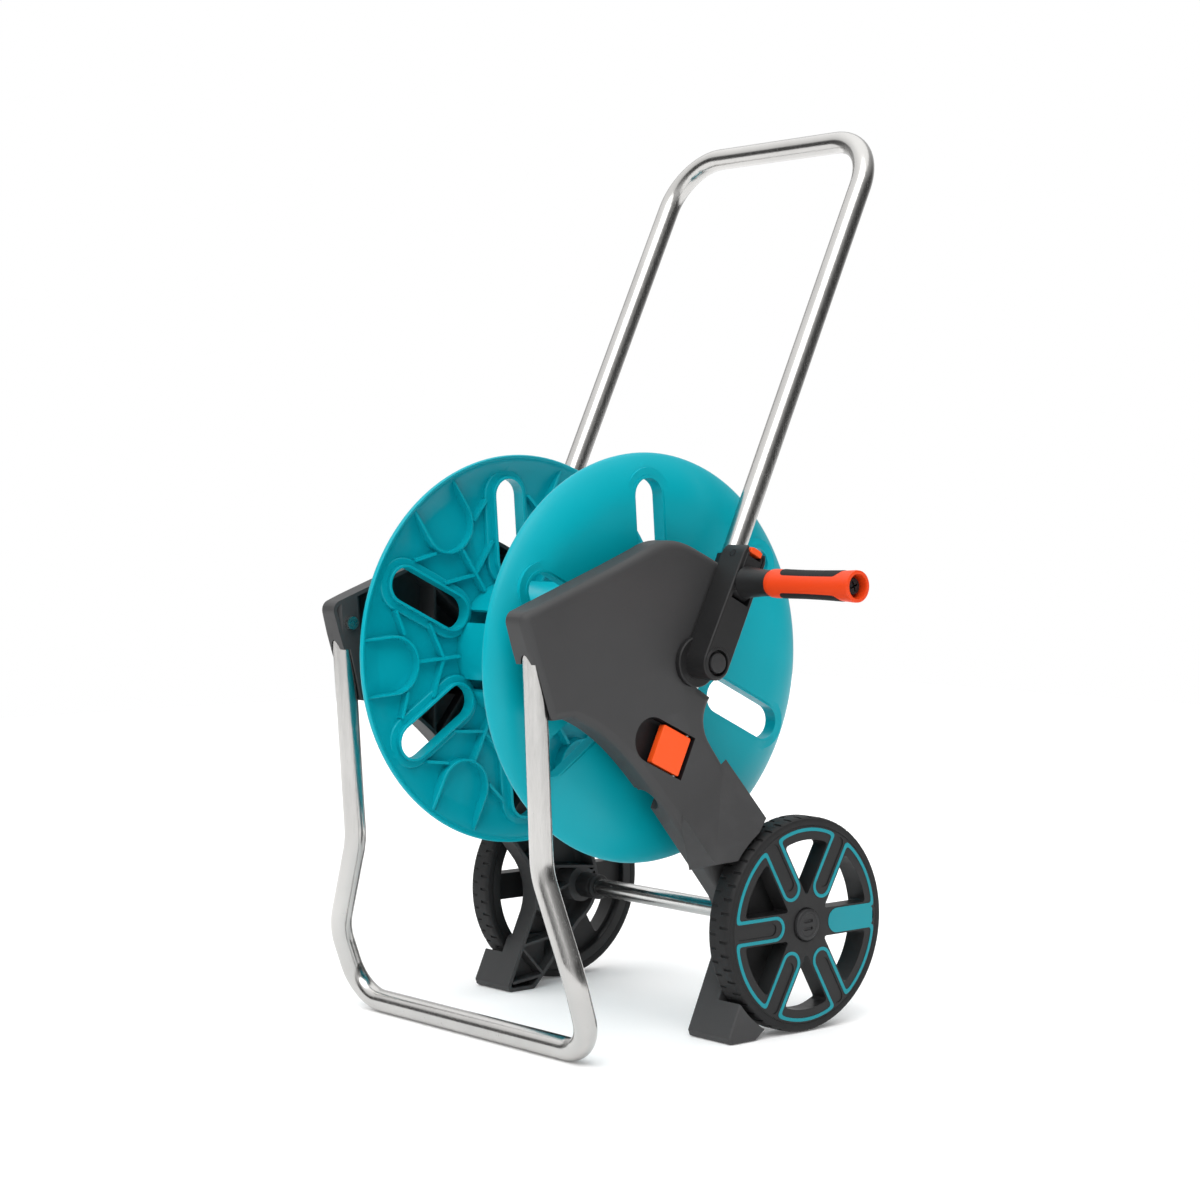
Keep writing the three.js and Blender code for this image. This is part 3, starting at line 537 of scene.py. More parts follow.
def tube(name, path, radius, steps=40):
    """A round bar swept along a path, its section carried along without twist."""
    rings = []
    tangent = (path[1] - path[0]).normalized()
    side = tangent.orthogonal().normalized()
    for i, point in enumerate(path):
        ahead = path[min(i + 1, len(path) - 1)] - point
        behind = point - path[max(i - 1, 0)]
        new = (ahead.normalized() + behind.normalized()).normalized()
        side = (side - new * side.dot(new)).normalized()
        rings.append(circle(point, side, new.cross(side), radius, steps))
    return loft(name, rings)


# ---- drum

DRUM_Z = 330.0
WEB_OUT = 105.0
WEB_IN = 101.0
SLOT_FIRST = 34.0
SLOT_IN, SLOT_OUT, SLOT_W = 67.0, 158.0, 31.0


def polar(radius, angle, across=0.0):
    """Y and Z at a radius from the drum's axis, across to the side of that spoke."""
    c, s = math.cos(math.radians(angle)), math.sin(math.radians(angle))
    return (radius * c - across * s, DRUM_Z + radius * s + across * c)


def slot_at(angle, grow):
    y, z = polar((SLOT_IN + SLOT_OUT) / 2, angle)
    return stadium(y, z, SLOT_OUT - SLOT_IN + 2 * grow, SLOT_W + 2 * grow, angle)


def plate(name, start, end, half, x0, x1):
    """A straight rib in the plane of the flange between two points."""
    a, b = Vector(start), Vector(end)
    side = (b - a).normalized()
    side = Vector((-side.y, side.x)) * half
    outline = [tuple(a + side), tuple(b + side), tuple(b - side), tuple(a - side)]
    return prism(name, outline, x0, x1)


def flange(closed):
    body = lathe("flange", [
        (13, WEB_IN), (60, WEB_IN), (138, WEB_IN), (147, 100.5), (156, 99.1), (165, 96.2),
        (172, 92.4), (175.6, 89.4), (176.4, 87), (177.2, 86.2), (179, 86), (179.8, 86.8),
        (180, 88.6), (179.4, 90.6), (177, 93.2), (172, 96.6), (165, 100.1), (156, 103),
        (147, 104.5), (138, WEB_OUT), (60, WEB_OUT), (28, WEB_OUT),
        (26, 105.6), (25, 107), (25, 110.2), (24.2, 111), (13, 111),
    ], 0, DRUM_Z, 144)
    pads, holes = [], []
    for i in range(6):
        angle = SLOT_FIRST + 60 * i
        if i == closed:
            continue
        pads.append(prism("pad", slot_at(angle, 9), 96, 103, 1.6, 0))
        pads.append(prism("collar", slot_at(angle, 2.4), 91, 104, 0.9, 0))
        holes.append(prism("hole", slot_at(angle, 0), 70, 120))
        holes.append(prism("lead_in", slot_at(angle, 1.6), 104.2, 120))
    ribs = []
    for i in range(6):
        angle = SLOT_FIRST + 30 + 60 * i
        apex, half = 113.0, 27.0
        outer = stadium(*polar(apex + 50, angle), 100, 2 * half, angle)
        inner = stadium(*polar(apex + 52.4, angle), 100, 2 * half - 4.8, angle)
        scoop = prism("scoop", outer, 91, 103, 1, 0)
        ribs.append(cut(scoop, prism("scoop_inside", inner, 80, 99.8)))
        ribs.append(plate("spoke_rib", polar(66, angle), polar(apex + 2, angle), 1.4, 92.5, 103))
        for side in (-1, 1):
            ribs.append(plate(
                "cross_rib", polar(126, angle, side * (half - 1)),
                polar(134, angle, side * (half + 22)), 1.4, 93.5, 103,
            ))
            ribs.append(plate(
                "tie_rib", polar(84, angle, 0), polar(98, angle, side * 34), 1.4, 93.5, 103,
            ))
    ring = lathe("keep", [
        (30, 60), (175.7, 60), (175.7, 91), (172, 94.4), (165, 98), (156, 101), (147, 102.6),
        (138, 103), (30, 103),
    ], 0, DRUM_Z, 144)
    details = ribs[0]
    union(details, *ribs[1:])
    common(details, ring)
    union(body, *pads)
    union(body, details)
    cut(body, *holes)
    return body


flange_right = flange(4)
flange_left = reflect(flange(5))
flange_left.name = "drum_flange_far"
finish_piece(flange_right, TEAL_MAT, "drum", "teal_plastic", ["drum_flange_right"], 0.7, 40)
finish_piece(flange_left, TEAL_MAT, "drum", "teal_plastic", ["drum_flange_left"], 0.7, 40)
flange_right.name = "drum_flange_near"


def core():
    """A hub with six webs, each ending in a curved segment that the hose lies on."""
    outline = []
    hub, outer, wall, web = 21.0, 64.0, 3.5, 2.0

    def push(radius, angle):
        outline.append((radius * math.cos(angle), DRUM_Z + radius * math.sin(angle)))

    for i in range(6):
        middle = math.radians(60 + 60 * i)
        spread = math.radians(24)
        for k in range(-4, 0):
            push(hub, middle + math.radians(6) * k)
        push(hub, middle - web / hub)
        push(outer - wall, middle - web / outer)
        for k in range(1, 6):
            push(outer - wall, middle - spread * k / 5)
        for k in range(-6, 7):
            push(outer, middle + spread * k / 6)
        for k in range(5, 0, -1):
            push(outer - wall, middle + spread * k / 5)
        push(outer - wall, middle + web / outer)
        push(hub, middle + web / hub)
        for k in range(1, 5):
            push(hub, middle + math.radians(6) * k)
    body = prism("drum_core_moulding", outline, -100.7, 100.7)
    cut(body, lathe("bore", [(0, -130), (12.3, -130), (12.3, 130), (0, 130)], 0, DRUM_Z, 36))
    y, z = polar(40, 34)
    cut(body, rod("outlet", (-55, 0, DRUM_Z), (-55, y * 2, DRUM_Z + (z - DRUM_Z) * 2), 9.3))
    return body


finish_piece(core(), TEAL_MAT, "drum", "teal_plastic", ["drum_core"], 0.5, 40)


# ---- side panels

def curve(p0, p1, p2, steps=8):
    """Points after p0 along a quadratic curve to p2."""
    out = []
    for k in range(1, steps + 1):
        t = k / steps
        out.append(tuple(
            (1 - t) ** 2 * p0[n] + 2 * t * (1 - t) * p1[n] + t * t * p2[n] for n in (0, 1)
        ))
    return out


def panel_outline():
    """The side panel in Y and Z, from its front corner over the top and down the leg."""
    points = [(-186, 375, 9), (-82, 414, 60), (-49, 427)]
    points += curve((-49, 427), (-22, 441), (8, 427))
    points += [(42, 411), (73.3, 400.7, 5), (33, 316, 9), (-7, 316, 9)]
    points += [(23, 298)]
    points += curve((23, 298), (7, 278), (23, 257))
    points += [(44, 229), (84, 188)]
    points += curve((84, 188), (122, 140), (129, 98))
    points += curve((129, 98), (128, 72), (104, 58))
    points += [(60, 12), (48, 0, 4), (18, 0, 3), (16, 6), (43, 66)]
    points += curve((43, 66), (58, 94), (39, 122))
    points += [(4, 165), (-28, 204)]
    points += curve((-28, 204), (-58, 240), (-82, 260))
    points += curve((-82, 260), (-108, 281), (-132, 288))
    points += [(-156, 287, 7), (-177, 346)]
    return rounded(points, 6)


PANEL_IN, PANEL_OUT, SKIN = 124.0, 151.5, 3.0
# From here forwards and upwards the panel's outer face leans in.
LEAN_Y, LEAN_Z = -150, 355
HANDLE_TILT = math.radians(25.46)
HANDLE_TOP = (245.6, 801.6)
HANDLE_X = 131.0
# The stand and the handle are bent from the same tube.
TUBE_R = 10.0
# Distances down the handle's leg: where the panel takes it in, the end of its bush, the
# middle of the latch, the bottom of the sleeve inside the panel.
GUIDE_TOP, BUSH_END, LATCH_AT, GUIDE_END = 420, 454, 610, 700


def handle_point(distance, x=HANDLE_X):
    """A point on the axis of the handle's leg, measured down from its top corner."""
    return (x, HANDLE_TOP[0] - distance * math.sin(HANDLE_TILT),
            HANDLE_TOP[1] - distance * math.cos(HANDLE_TILT))


LATCH_MIDDLE = handle_point(LATCH_AT)
# The recess: its half width, how far it runs back and where its round end begins, and its two
# floors, a shelf at the back and a deeper pocket in front.
RECESS_R, RECESS_BACK, RECESS_ROUND = 19.5, 11.0, -34
SHELF, POCKET, POCKET_BACK = 142.9, 139.0, -9.0


def latch_point(n, u):
    """Y and Z at n behind and u above the latch's middle, square to the handle's leg."""
    c, s = math.cos(HANDLE_TILT), math.sin(HANDLE_TILT)
    return (LATCH_MIDDLE[1] + n * c + u * s, LATCH_MIDDLE[2] - n * s + u * c)


def lean(obj):
    """Leans the outer face inwards towards the front edge and the top, skin and all."""
    made = bmesh.new()
    made.from_mesh(obj.data)
    planes = [(to_row(0, y, 0), (0, 1, 0)) for y in range(LEAN_Y, -180, -7)]
    planes += [(to_row(0, 0, z), (0, 0, 1)) for z in range(LEAN_Z, 430, 9)]
    for place, normal in planes:
        bmesh.ops.bisect_plane(
            made, geom=made.verts[:] + made.edges[:] + made.faces[:],
            plane_co=place, plane_no=normal,
        )
    made.to_mesh(obj.data)
    made.free()
    for vertex in obj.data.vertices:
        x, y, z = (vertex.co - OFFSET) * 1000
        if x > PANEL_IN:
            front = max(0.0, (LEAN_Y - y) / 36)
            top = max(0.0, (z - LEAN_Z) / 80)
            share = min(1.0, (x - PANEL_IN) / (PANEL_OUT - PANEL_IN))
            vertex.co.x -= (5.4 * front ** 3 + 5.0 * top ** 2) * share / 1000
    return obj


def panel_rib(start, end, x0=PANEL_IN + 2, half=1.25):
    return plate("rib", start, end, half, x0, PANEL_OUT - 1)


def inside_limit(outline):
    """The panel's body a little inside its outer face, to clip what must not poke through."""
    return lean(prism("inside", shrunk(outline, [1.2])[0], PANEL_IN, PANEL_OUT - 1.2, 0, 7, 8))


def inside_ribs(outline):
    ribs = []
    for angle in (100, 140, 178, 215):
        ribs.append(panel_rib(polar(20, angle), polar(230, angle)))
    ribs.append(panel_rib((-70, 255), (-70, 440)))
    ribs.append(panel_rib((-128, 270), (-128, 415)))
    route = [(-35, 290), (-70, 245), (14, 262), (-20, 195), (60, 215), (10, 155), (100, 165),
             (42, 118), (130, 110), (46, 80), (96, 52), (32, 42), (60, 12), (22, 8)]
    for a, b in zip(route, route[1:]):
        ribs.append(panel_rib(a, b, 126))
    ribs.append(lathe("axle_boss", [(0, 123), (17, 123), (17, 151), (0, 151)],
                      AXLE_Y, WHEEL_R, 40))
    sleeve = 16
    for name, top, low, x in (
        ("handle_sleeve", handle_point(GUIDE_TOP), handle_point(GUIDE_END), HANDLE_X),
        ("stand_sleeve", (137.6, -167.2, 384), (135.9, -160.5, 285), 137),
    ):
        ribs.append(rod(name, top, low, sleeve))
        ribs.append(panel_rib(top[1:], low[1:], x, sleeve))
    body = ribs[0]
    union(body, *ribs[1:])
    return common(body, inside_limit(outline))


def recess(grow, x0, x1, back=RECESS_BACK):
    """The outline of the latch's recess, square at the back and round in front, drawn along X."""
    radius = RECESS_R + grow
    outline = [latch_point(back, radius), latch_point(RECESS_ROUND, radius)]
    for k in range(1, 16):
        a = math.pi * k / 16
        outline.append(latch_point(RECESS_ROUND - radius * math.sin(a), radius * math.cos(a)))
    outline += [latch_point(RECESS_ROUND, -radius), latch_point(back, -radius)]
    return prism("recess", outline, x0, x1)


def paint_recess_shade(obj):
    """Gives the walls and floor of the latch's recess painted shade in near-black, up to the
    panel's face.
    """
    # the second material, near-black, is painted shade on the recess's walls and floor
    obj.data.materials.append(BLACK_AND_SHADE_MAT)
    for face in obj.data.polygons:
        x, y, z = (face.center - OFFSET) * 1000
        y, z = y - LATCH_MIDDLE[1], z - LATCH_MIDDLE[2]
        n = y * math.cos(HANDLE_TILT) - z * math.sin(HANDLE_TILT)
        u = y * math.sin(HANDLE_TILT) + z * math.cos(HANDLE_TILT)
        deep = POCKET - 1.5 < abs(x) < PANEL_OUT - 0.05
        within = RECESS_ROUND - RECESS_R - 0.5 < n < RECESS_BACK + 0.5 and abs(u) < RECESS_R + 0.3
        wall_or_floor = abs(face.normal.x) < 0.2 or abs(x) < POCKET + 4
        if deep and within and wall_or_floor:
            face.material_index = 1


def fender():
    """The bulge over the wheel: a flat facet that slopes out, with softened edges."""
    points = [(149, -16, 204), (149, -3, 150), (149, 40, 243), (149, 74, 190),
              (175, 4, 157), (175, 64, 192), (175, 40, 158), (170, 66, 194)]
    made = bmesh.new()
    for p in points:
        made.verts.new(to_row(*p))
    bmesh.ops.convex_hull(made, input=made.verts)
    return placed_bmesh("fender", made)


def panel():
    outline = panel_outline()
    body = lean(prism("panel", outline, PANEL_IN, PANEL_OUT, 0, 7.5, 8))
    hollow = lean(prism(
        "hollow", shrunk(outline, [SKIN + 0.5])[0], PANEL_IN - 5, PANEL_OUT - SKIN, 0, 5, 4,
    ))
    cut(body, hollow)
    union(body, inside_ribs(outline))
    union(body, lathe("bearing_boss", [(0, 112), (22, 112), (22, 150), (0, 150)], 0, DRUM_Z, 48))
    foot = rounded([(18, 0, 3), (16, 6, 3), (36, 50, 6), (70, 50, 6), (70, 16, 6), (48, 0, 4)], 5)
    outer = fender()
    union(outer, prism("foot", foot, 140, 180, 0, 2.5))
    arch = lathe("arch", [(0, 152.5), (99.5, 152.5), (99.5, 210), (0, 210)], AXLE_Y, WHEEL_R, 96)
    cut(outer, arch)
    tub = common(recess(SKIN, POCKET - SKIN, PANEL_OUT), inside_limit(outline))
    union(body, outer, tub)
    relief = [(-120, 205), (-20, 228), (80, 228), (160, 160), (160, -10), (-20, -10)]
    slot = [(-210, 334), (-166, 334), (-150, 275), (-210, 275)]
    cut(
        body,
        prism("relief", relief, 110, 127),
        lathe("bearing_seat", [(0, 100), (17.3, 100), (17.3, 120), (8.5, 120), (8.5, 210),
                               (0, 210)], 0, DRUM_Z, 40),
        lathe("axle_hole", [(0, 90), (8.8, 90), (8.8, 210), (0, 210)], AXLE_Y, WHEEL_R, 40),
        rod("handle_bore", handle_point(GUIDE_TOP - 20), handle_point(GUIDE_END + 100),
            TUBE_R + 0.6),
        rod("bush_seat", handle_point(GUIDE_TOP), handle_point(BUSH_END), 13.6),
        rod("stand_bore", (137.45, -166.7, 374), (134.0, -153.2, 150), TUBE_R + 0.8),
        prism("stand_slot", slot, PANEL_IN - 10, PANEL_OUT - SKIN - 1),
        recess(0, SHELF, 170),
        recess(0, POCKET, 170, POCKET_BACK),
    )
    return body


panel_right = panel()
panel_right.name = "side_panel_near"
panel_left = mirrored(panel_right, "side_panel_far")
finish_piece(panel_right, GREY_MAT, "frame", "grey_plastic", ["side_panel_right"], 0, 33)
finish_piece(panel_left, GREY_MAT, "frame", "grey_plastic", ["side_panel_left"], 0, 33)
# painted shade: the walls and floor of the latch recess on both panels are made near-black
paint_recess_shade(panel_right)
paint_recess_shade(panel_left)


# ---- tubes

STAND_BEND, HANDLE_BEND, BEND_STEPS = 60, 52, 18
HANDLE_LENGTH = 631


def both_sides(half):
    return half + [(-x, y, z) for x, y, z in reversed(half)]


stand_half = [(137.4, -166.5, 372), (134.2, -153.8, 160), (169, -148, 76), (166, -126, TUBE_R)]
stand = tube("stand_bar", bent_path(both_sides(stand_half), STAND_BEND, BEND_STEPS), TUBE_R)
finish_piece(stand, TUBE_MAT, "frame", "bright_steel_tube", ["stand_tube"], 0, 50)

handle_half = [handle_point(HANDLE_LENGTH), (HANDLE_X, *HANDLE_TOP)]
handle = tube("push_handle", bent_path(both_sides(handle_half), HANDLE_BEND, BEND_STEPS), TUBE_R)
finish_piece(handle, TUBE_MAT, "handle", "bright_steel_tube", ["handle_tube"], 0, 50)

axle = lathe("axle_bar", [(0, -177), (7.5, -177), (8.5, -176), (8.5, 176), (7.5, 177), (0, 177)],
             AXLE_Y, WHEEL_R, 40)
finish_piece(axle, AXLE_MAT, "frame", "plated_steel", ["axle_tube"], 0, 30)

for side in (1, -1):
    tag = "near" if side > 0 else "far"
    node = "right" if side > 0 else "left"
    x0, x1 = 100 * side, 122.7 * side
    sleeve = lathe(f"axle_sleeve_{tag}", [
        (8.8, x0), (11, x0), (12, x0 + side), (12, x0 + 5 * side), (11.2, x0 + 6 * side),
        (12, x0 + 7 * side), (12, x1), (8.8, x1),
    ], AXLE_Y, WHEEL_R, 48)
    finish_piece(sleeve, BLACK_MAT, "frame", "black_plastic", [f"axle_sleeve_{node}"], 0, 40)


# ---- wheels

def wheel_point(radius, angle):
    return (AXLE_Y + radius * math.cos(angle), WHEEL_R + radius * math.sin(angle))


def window(index):
    """The opening between two spokes: straight sides along the spokes, an arc at the rim."""
    middle = math.radians((index + 0.5) * 60)
    half = math.radians(30)
    margin, rim, hub = 12.5, 75.0, 27.0

    def edge(radius, side):
        return (*wheel_point(radius, middle + side * (half - math.asin(margin / radius))), 4)

    corners = [edge(hub, -1), (*edge(rim, -1)[:2], 7)]
    for k in range(1, 8):
        a = middle + (half - math.asin(margin / rim)) * (k / 4 - 1)
        corners.append(wheel_point(rim, a))
    corners += [(*edge(rim, 1)[:2], 7), edge(hub, 1)]
    return rounded(corners, 6)


def inlay_loop(offset):
    """The coloured line around the rim and in along each spoke, moved out by offset."""
    outer, half, end = 84.0 + offset, 9.5 - offset, 38.0
    points = []
    for i in range(6):
        axis = math.radians(60 * i)
        c, s = math.cos(axis), math.sin(axis)

        def push(along, across, radius=0):
            points.append((AXLE_Y + along * c - across * s,
                           WHEEL_R + along * s + across * c, radius))

        push(outer - 1.2, -half, 4)
        for k in range(13):
            a = math.radians(-90 - 15 * k)
            push(end + half * math.cos(a), half * math.sin(a))
        push(outer - 1.2, half, 4)
        start = math.asin((half + 6) / outer)
        sweep = math.radians(60) - 2 * start
        for k in range(11):
            points.append(wheel_point(outer, axis + start + sweep * k / 10))
    return rounded(points, 4)


def wheel():
    body = lathe("wheel", [
        (8.85, 164), (72, 164), (78, 163), (78, 156.6), (79, 156), (87, 156), (87.2, 158),
        (87.2, 180.4), (86.4, 181), (16.2, 181), (14.4, 180), (14.4, 176.5), (8.85, 176.5),
    ], AXLE_Y, WHEEL_R, 120)
    union(body, lathe("hub", [(8.85, 156), (18, 156), (19, 157), (19, 170), (8.85, 170)],
                      AXLE_Y, WHEEL_R, 60))
    cut(body, *[prism("window", window(i), 150, 190) for i in range(6)])
    # each spoke is dished between its edges, behind the coloured line
    for i in range(6):
        y, z = wheel_point(61, math.radians(60 * i))
        cut(body, prism("dish", stadium(y, z, 48, 11.5, 60 * i), 180.2, 190))
    return body


def tyre():
    body = lathe("tyre", [
        (87.3, 156), (91, 155), (93.2, 155.6), (94.6, 157.4), (95, 160), (95, 176), (94.6, 178.6),
        (93.2, 180.4), (91, 181), (87.3, 180.5),
    ], AXLE_Y, WHEEL_R, 144)
    grooves = []
    for k in range(48):
        a = 2 * math.pi * (k + 0.5) / 48
        for x0, x1, shift in ((170.5, 183, 0.0), (153, 165.5, math.pi / 48)):
            ca, sa = math.cos(a + shift), math.sin(a + shift)
            outline = [(AXLE_Y + r * ca - t * sa, WHEEL_R + r * sa + t * ca)
                       for r, t in ((93.7, -1.1), (97, -1.3), (97, 1.3), (93.7, 1.1))]
            grooves.append(prism("groove", outline, x0, x1))
    made = bmesh.new()
    for groove in grooves:
        made.from_mesh(groove.data)
        bpy.data.objects.remove(groove, do_unlink=True)
    return cut(body, placed_bmesh("grooves", made))


def inlay():
    line = prism("inlay", inlay_loop(1.5), 179.6, 181.4, 0, 0.3, 2)
    cut(line, prism("inlay_inside", inlay_loop(-1.5), 170, 190))
    fill = stadium(AXLE_Y + 57, WHEEL_R, 57, 19, 0)
    fill = [(min(p, AXLE_Y + 83), q) for p, q in fill]
    return union(line, prism("inlay_spoke", fill, 179.6, 181.4, 0, 0.3, 2))


def hub_cap():
    body = lathe("hub_cap", [
        (0, 178.6), (14, 178.6), (14, 182.4), (13.4, 183.4), (12.2, 184), (10.6, 184),
        (10.2, 183.4), (0, 183.4),
    ], AXLE_Y, WHEEL_R, 64)
    for z in (-3.4, 3.4):
        cut(body, prism("slit", stadium(AXLE_Y, WHEEL_R + z, 11, 3, 0), 182.2, 190))
    return body


wheel_right, tyre_right, inlay_right, cap_right = wheel(), tyre(), inlay(), hub_cap()
for side, tag in (("right", "near"), ("left", "far")):
    for source, name, material, slot, bevel, node in (
        (wheel_right, "wheel_disc", BLACK_MAT, "black_plastic", 0.6, "wheel"),
        (tyre_right, "tread", TYRE_MAT, "soft_tyre", 0.25, "tyre"),
        (inlay_right, "coloured_line", TEAL_INLAY, "teal_plastic", 0, "wheel_inlay"),
        (cap_right, "wheel_cap", CAP_MAT, "grey_plastic", 0.25, "hub_cap"),
    ):
        if side == "left":
            source = mirrored(source, "twin")
        source.name = f"{name}_{tag}"
        finish_piece(source, material, f"wheel_{side}_body", slot, [f"{node}_{side}"], bevel, 35)


# ---- crank

CRANK_TILT = math.radians(26.4)
CRANK_IN, CRANK_OUT, CRANK_HALF, CHEEK = 152.5, 181.0, 14.0, 3.6
FOLD_AT, FOLD_X, GRIP_AT = 97.0, 167.0, 76.0
GRIP_START, GRIP_END = 213.0, 313.0


def crank_point(s, n=0.0):
    """Y and Z at s along the crank arm from the drum's axis and n across it."""
    c, k = math.cos(CRANK_TILT), math.sin(CRANK_TILT)
    return (s * k + n * c, DRUM_Z + s * c - n * k)


def crank_ring(radius, s, start, end, steps):
    """An arc about a point on the crank arm."""
    out = []
    for k in range(steps + 1):
        a = math.radians(start + (end - start) * k / steps)
        out.append(crank_point(s + radius * math.sin(a), radius * math.cos(a)))
    return out


def crank_arm():
    outline = crank_ring(14, FOLD_AT, 0, 180, 24) + crank_ring(15, 0, 180, 360, 30)
    body = prism("crank_arm_moulding", outline, CRANK_IN, CRANK_OUT, 1.6, 1.8, 4)
    union(body, lathe("collar", [(0, 152.5), (22, 152.5), (22, 156.6), (21, 157.5), (0, 157.5)],
                      0, DRUM_Z, 72))
    union(body, lathe("ring", [(0, 170), (13.6, 170), (13.6, 181.4), (12.8, 182), (0, 182)],
                      0, DRUM_Z, 64))
    gap = CRANK_HALF - CHEEK
    fork = [crank_point(57.5, gap), crank_point(130, gap),
            crank_point(130, -gap), crank_point(57.5, -gap)]
    pin = [(FOLD_X, *crank_point(FOLD_AT, n)) for n in (20, -20)]
    cut(
        body,
        prism("fork", fork, 140, 190),
        rod("pin_hole", *pin, 3.3),
        lathe("shaft_hole", [(0, 140), (8.3, 140), (8.3, 172.5), (3.4, 172.5), (3.4, 177),
                             (11.3, 177), (11.3, 200), (0, 200)], 0, DRUM_Z, 48),
    )
    return body


finish_piece(crank_arm(), BLACK_MAT, "drum", "black_plastic", ["crank_arm"], 0.5, 35)

crank_cap = lathe("crank_button", [
    (0, 178), (8.6, 178), (8.6, 182), (8.2, 182.7), (7.4, 183), (0, 183),
], 0, DRUM_Z, 64)
finish_piece(crank_cap, CAP_MAT, "drum", "grey_plastic", ["crank_cap"], 0, 35)


def knuckle():
    clearance = 0.3
    half = CRANK_HALF - CHEEK - clearance
    side = [(153, 69), (160, 61), (176, 61), (181, 65),
            (181, 100), (178, 104), (157, 104), (153, 100)]
    mid_x, mid_s = 167.0, 83.0
    rings = []
    for n in (-half, -half + 1, half - 1, half):
        inner = 0.93 if abs(n) == half else 1.0
        rings.append([
            (mid_x + (x - mid_x) * inner, *crank_point(mid_s + (s - mid_s) * inner, n))
            for x, s in side
        ])
    body = loft("grip_knuckle_moulding", rings)
    neck = lathe("neck", [
        (0, 172), (9.5, 172), (9.5, 181.3), (13.4, 181.3), (14, 182), (14, 183.6), (13.2, 186),
        (11.4, 204), (11.2, GRIP_START - 0.3), (0, GRIP_START - 0.3),
    ], *crank_point(GRIP_AT), 48)
    union(body, neck)
    well = [crank_point(98, 7.3), crank_point(110, 7.3),
            crank_point(110, -7.3), crank_point(98, -7.3)]
    cut(body, prism("lock_well", well, 171.5, 190))
    return body


finish_piece(knuckle(), BLACK_MAT, "grip_arm", "black_plastic", ["grip_knuckle"], 0.5, 30)

lock = [crank_point(101.5, 7), crank_point(106, 7), crank_point(107, 4), crank_point(107, -4),
        crank_point(106, -7), crank_point(101.5, -7)]
finish_piece(prism("fold_lock_tile", lock, 172, 180.5, 0.4, 0.6), ORANGE_MAT,
             "fold_lock_button", "orange_plastic", ["fold_lock"], 0.3, 35)

# The grip narrows a little in the middle and flares to its open end.
GRIP_SHAPE = [(11.6, 0.0), (12.2, 0.03), (12.4, 0.07), (12.0, 0.2), (11.8, 0.4), (12.0, 0.6),
              (12.5, 0.8), (13.1, 0.93), (13.5, 0.985), (13.2, 1.0)]


def grip_radius(x):
    """The grip's radius at x, straight between the points of GRIP_SHAPE."""
    t = (x - GRIP_START) / (GRIP_END - GRIP_START)
    for (r0, t0), (r1, t1) in zip(GRIP_SHAPE, GRIP_SHAPE[1:]):
        if t <= t1:
            return r0 + (r1 - r0) * (t - t0) / (t1 - t0)
    return GRIP_SHAPE[-1][0]


grip_y, grip_z = crank_point(GRIP_AT)


def grip_sleeve():
    profile = [(5.5, GRIP_START), (11.2, GRIP_START)]
    for k in range(1, 41):
        x = GRIP_START + (GRIP_END - GRIP_START) * k / 40
        profile.append((grip_radius(x), x))
    profile += [(12.4, GRIP_END + 0.3), (10.4, GRIP_END + 0.2), (10, GRIP_END - 1),
                (9.8, GRIP_END - 12), (5.5, GRIP_END - 12)]
    return lathe("grip_shell", profile, grip_y, grip_z, 72)


def grip_pad(name, middle):
    """A rubber inset that follows the grip, with rounded ends and a slightly proud face."""
    margin, wrap, proud, sunk = 14, math.radians(54), 0.45, 0.9
    start, end = GRIP_START + margin, GRIP_END - margin
    rows, columns = 48, 14
    verts_top, verts_bottom = [], []
    for i in range(rows + 1):
        t = i / rows
        x = start + (end - start) * t
        from_end = min(t, 1 - t) * (end - start)
        spread = wrap * math.sqrt(max(0.02, 1 - max(0.0, 1 - from_end / 7) ** 2))
        for j in range(columns + 1):
            u = 2 * j / columns - 1
            a = middle + spread * u
            lift = proud * (1 - u ** 4) * min(1.0, from_end / 2 + 0.05)
            r = grip_radius(x) + lift - 0.05
            verts_top.append((x, grip_y + r * math.cos(a), grip_z + r * math.sin(a)))
            r = grip_radius(x) - sunk
            verts_bottom.append((x, grip_y + r * math.cos(a), grip_z + r * math.sin(a)))
    width = columns + 1
    base = len(verts_top)
    faces = []
    for i in range(rows):
        for j in range(columns):
            a, b = i * width + j, i * width + j + 1
            faces.append((a, b, b + width, a + width))
            faces.append((base + a, base + a + width, base + b + width, base + b))
    for i in range(rows):
        a, b = i * width, (i + 1) * width
        faces.append((a, b, base + b, base + a))
        faces.append((a + columns, base + a + columns, base + b + columns, b + columns))
    for j in range(columns):
        faces.append((j, base + j, base + j + 1, j + 1))
        a = rows * width + j
        faces.append((a, a + 1, base + a + 1, base + a))
    return mesh_object(name, verts_top + verts_bottom, faces)


finish_piece(grip_sleeve(), GRIP_MAT, "grip", "orange_plastic", ["grip_sleeve"], 0, 35)
for end, middle in (("top", math.pi / 2), ("bottom", -math.pi / 2)):
    finish_piece(grip_pad(f"grip_inset_{end}", middle), RUBBER_MAT, "grip", "black_rubber",
                 [f"grip_pad_{end}"], 0, 50)

screw = lathe("grip_end_screw", [
    (0, 282), (2, 282), (2, 304.4), (7.5, 304.4), (7.5, 306.6), (6.6, 308), (0, 308.4),
], grip_y, grip_z, 48)
for turned in (0, 90):
    cut(screw, prism("cross", stadium(grip_y, grip_z, 9, 1.7, turned + 20), 305.8, 312))
finish_piece(screw, BLACK_AND_SHADE_MAT, "grip_arm", "plated_steel", ["grip_screw"], 0.2, 35)


# ---- latches

def latch():
    reach, half = 26.0, 17.5
    outline = rounded([
        (*latch_point(-reach, half), 1.6), (*latch_point(7.3, half), 1.2),
        (*latch_point(7.3, -half), 1.2), (*latch_point(-reach, -half), 1.6),
    ], 4)
    return prism("latch_tile", outline, 144.0, 151.0, 0.5, 1.0, 4)


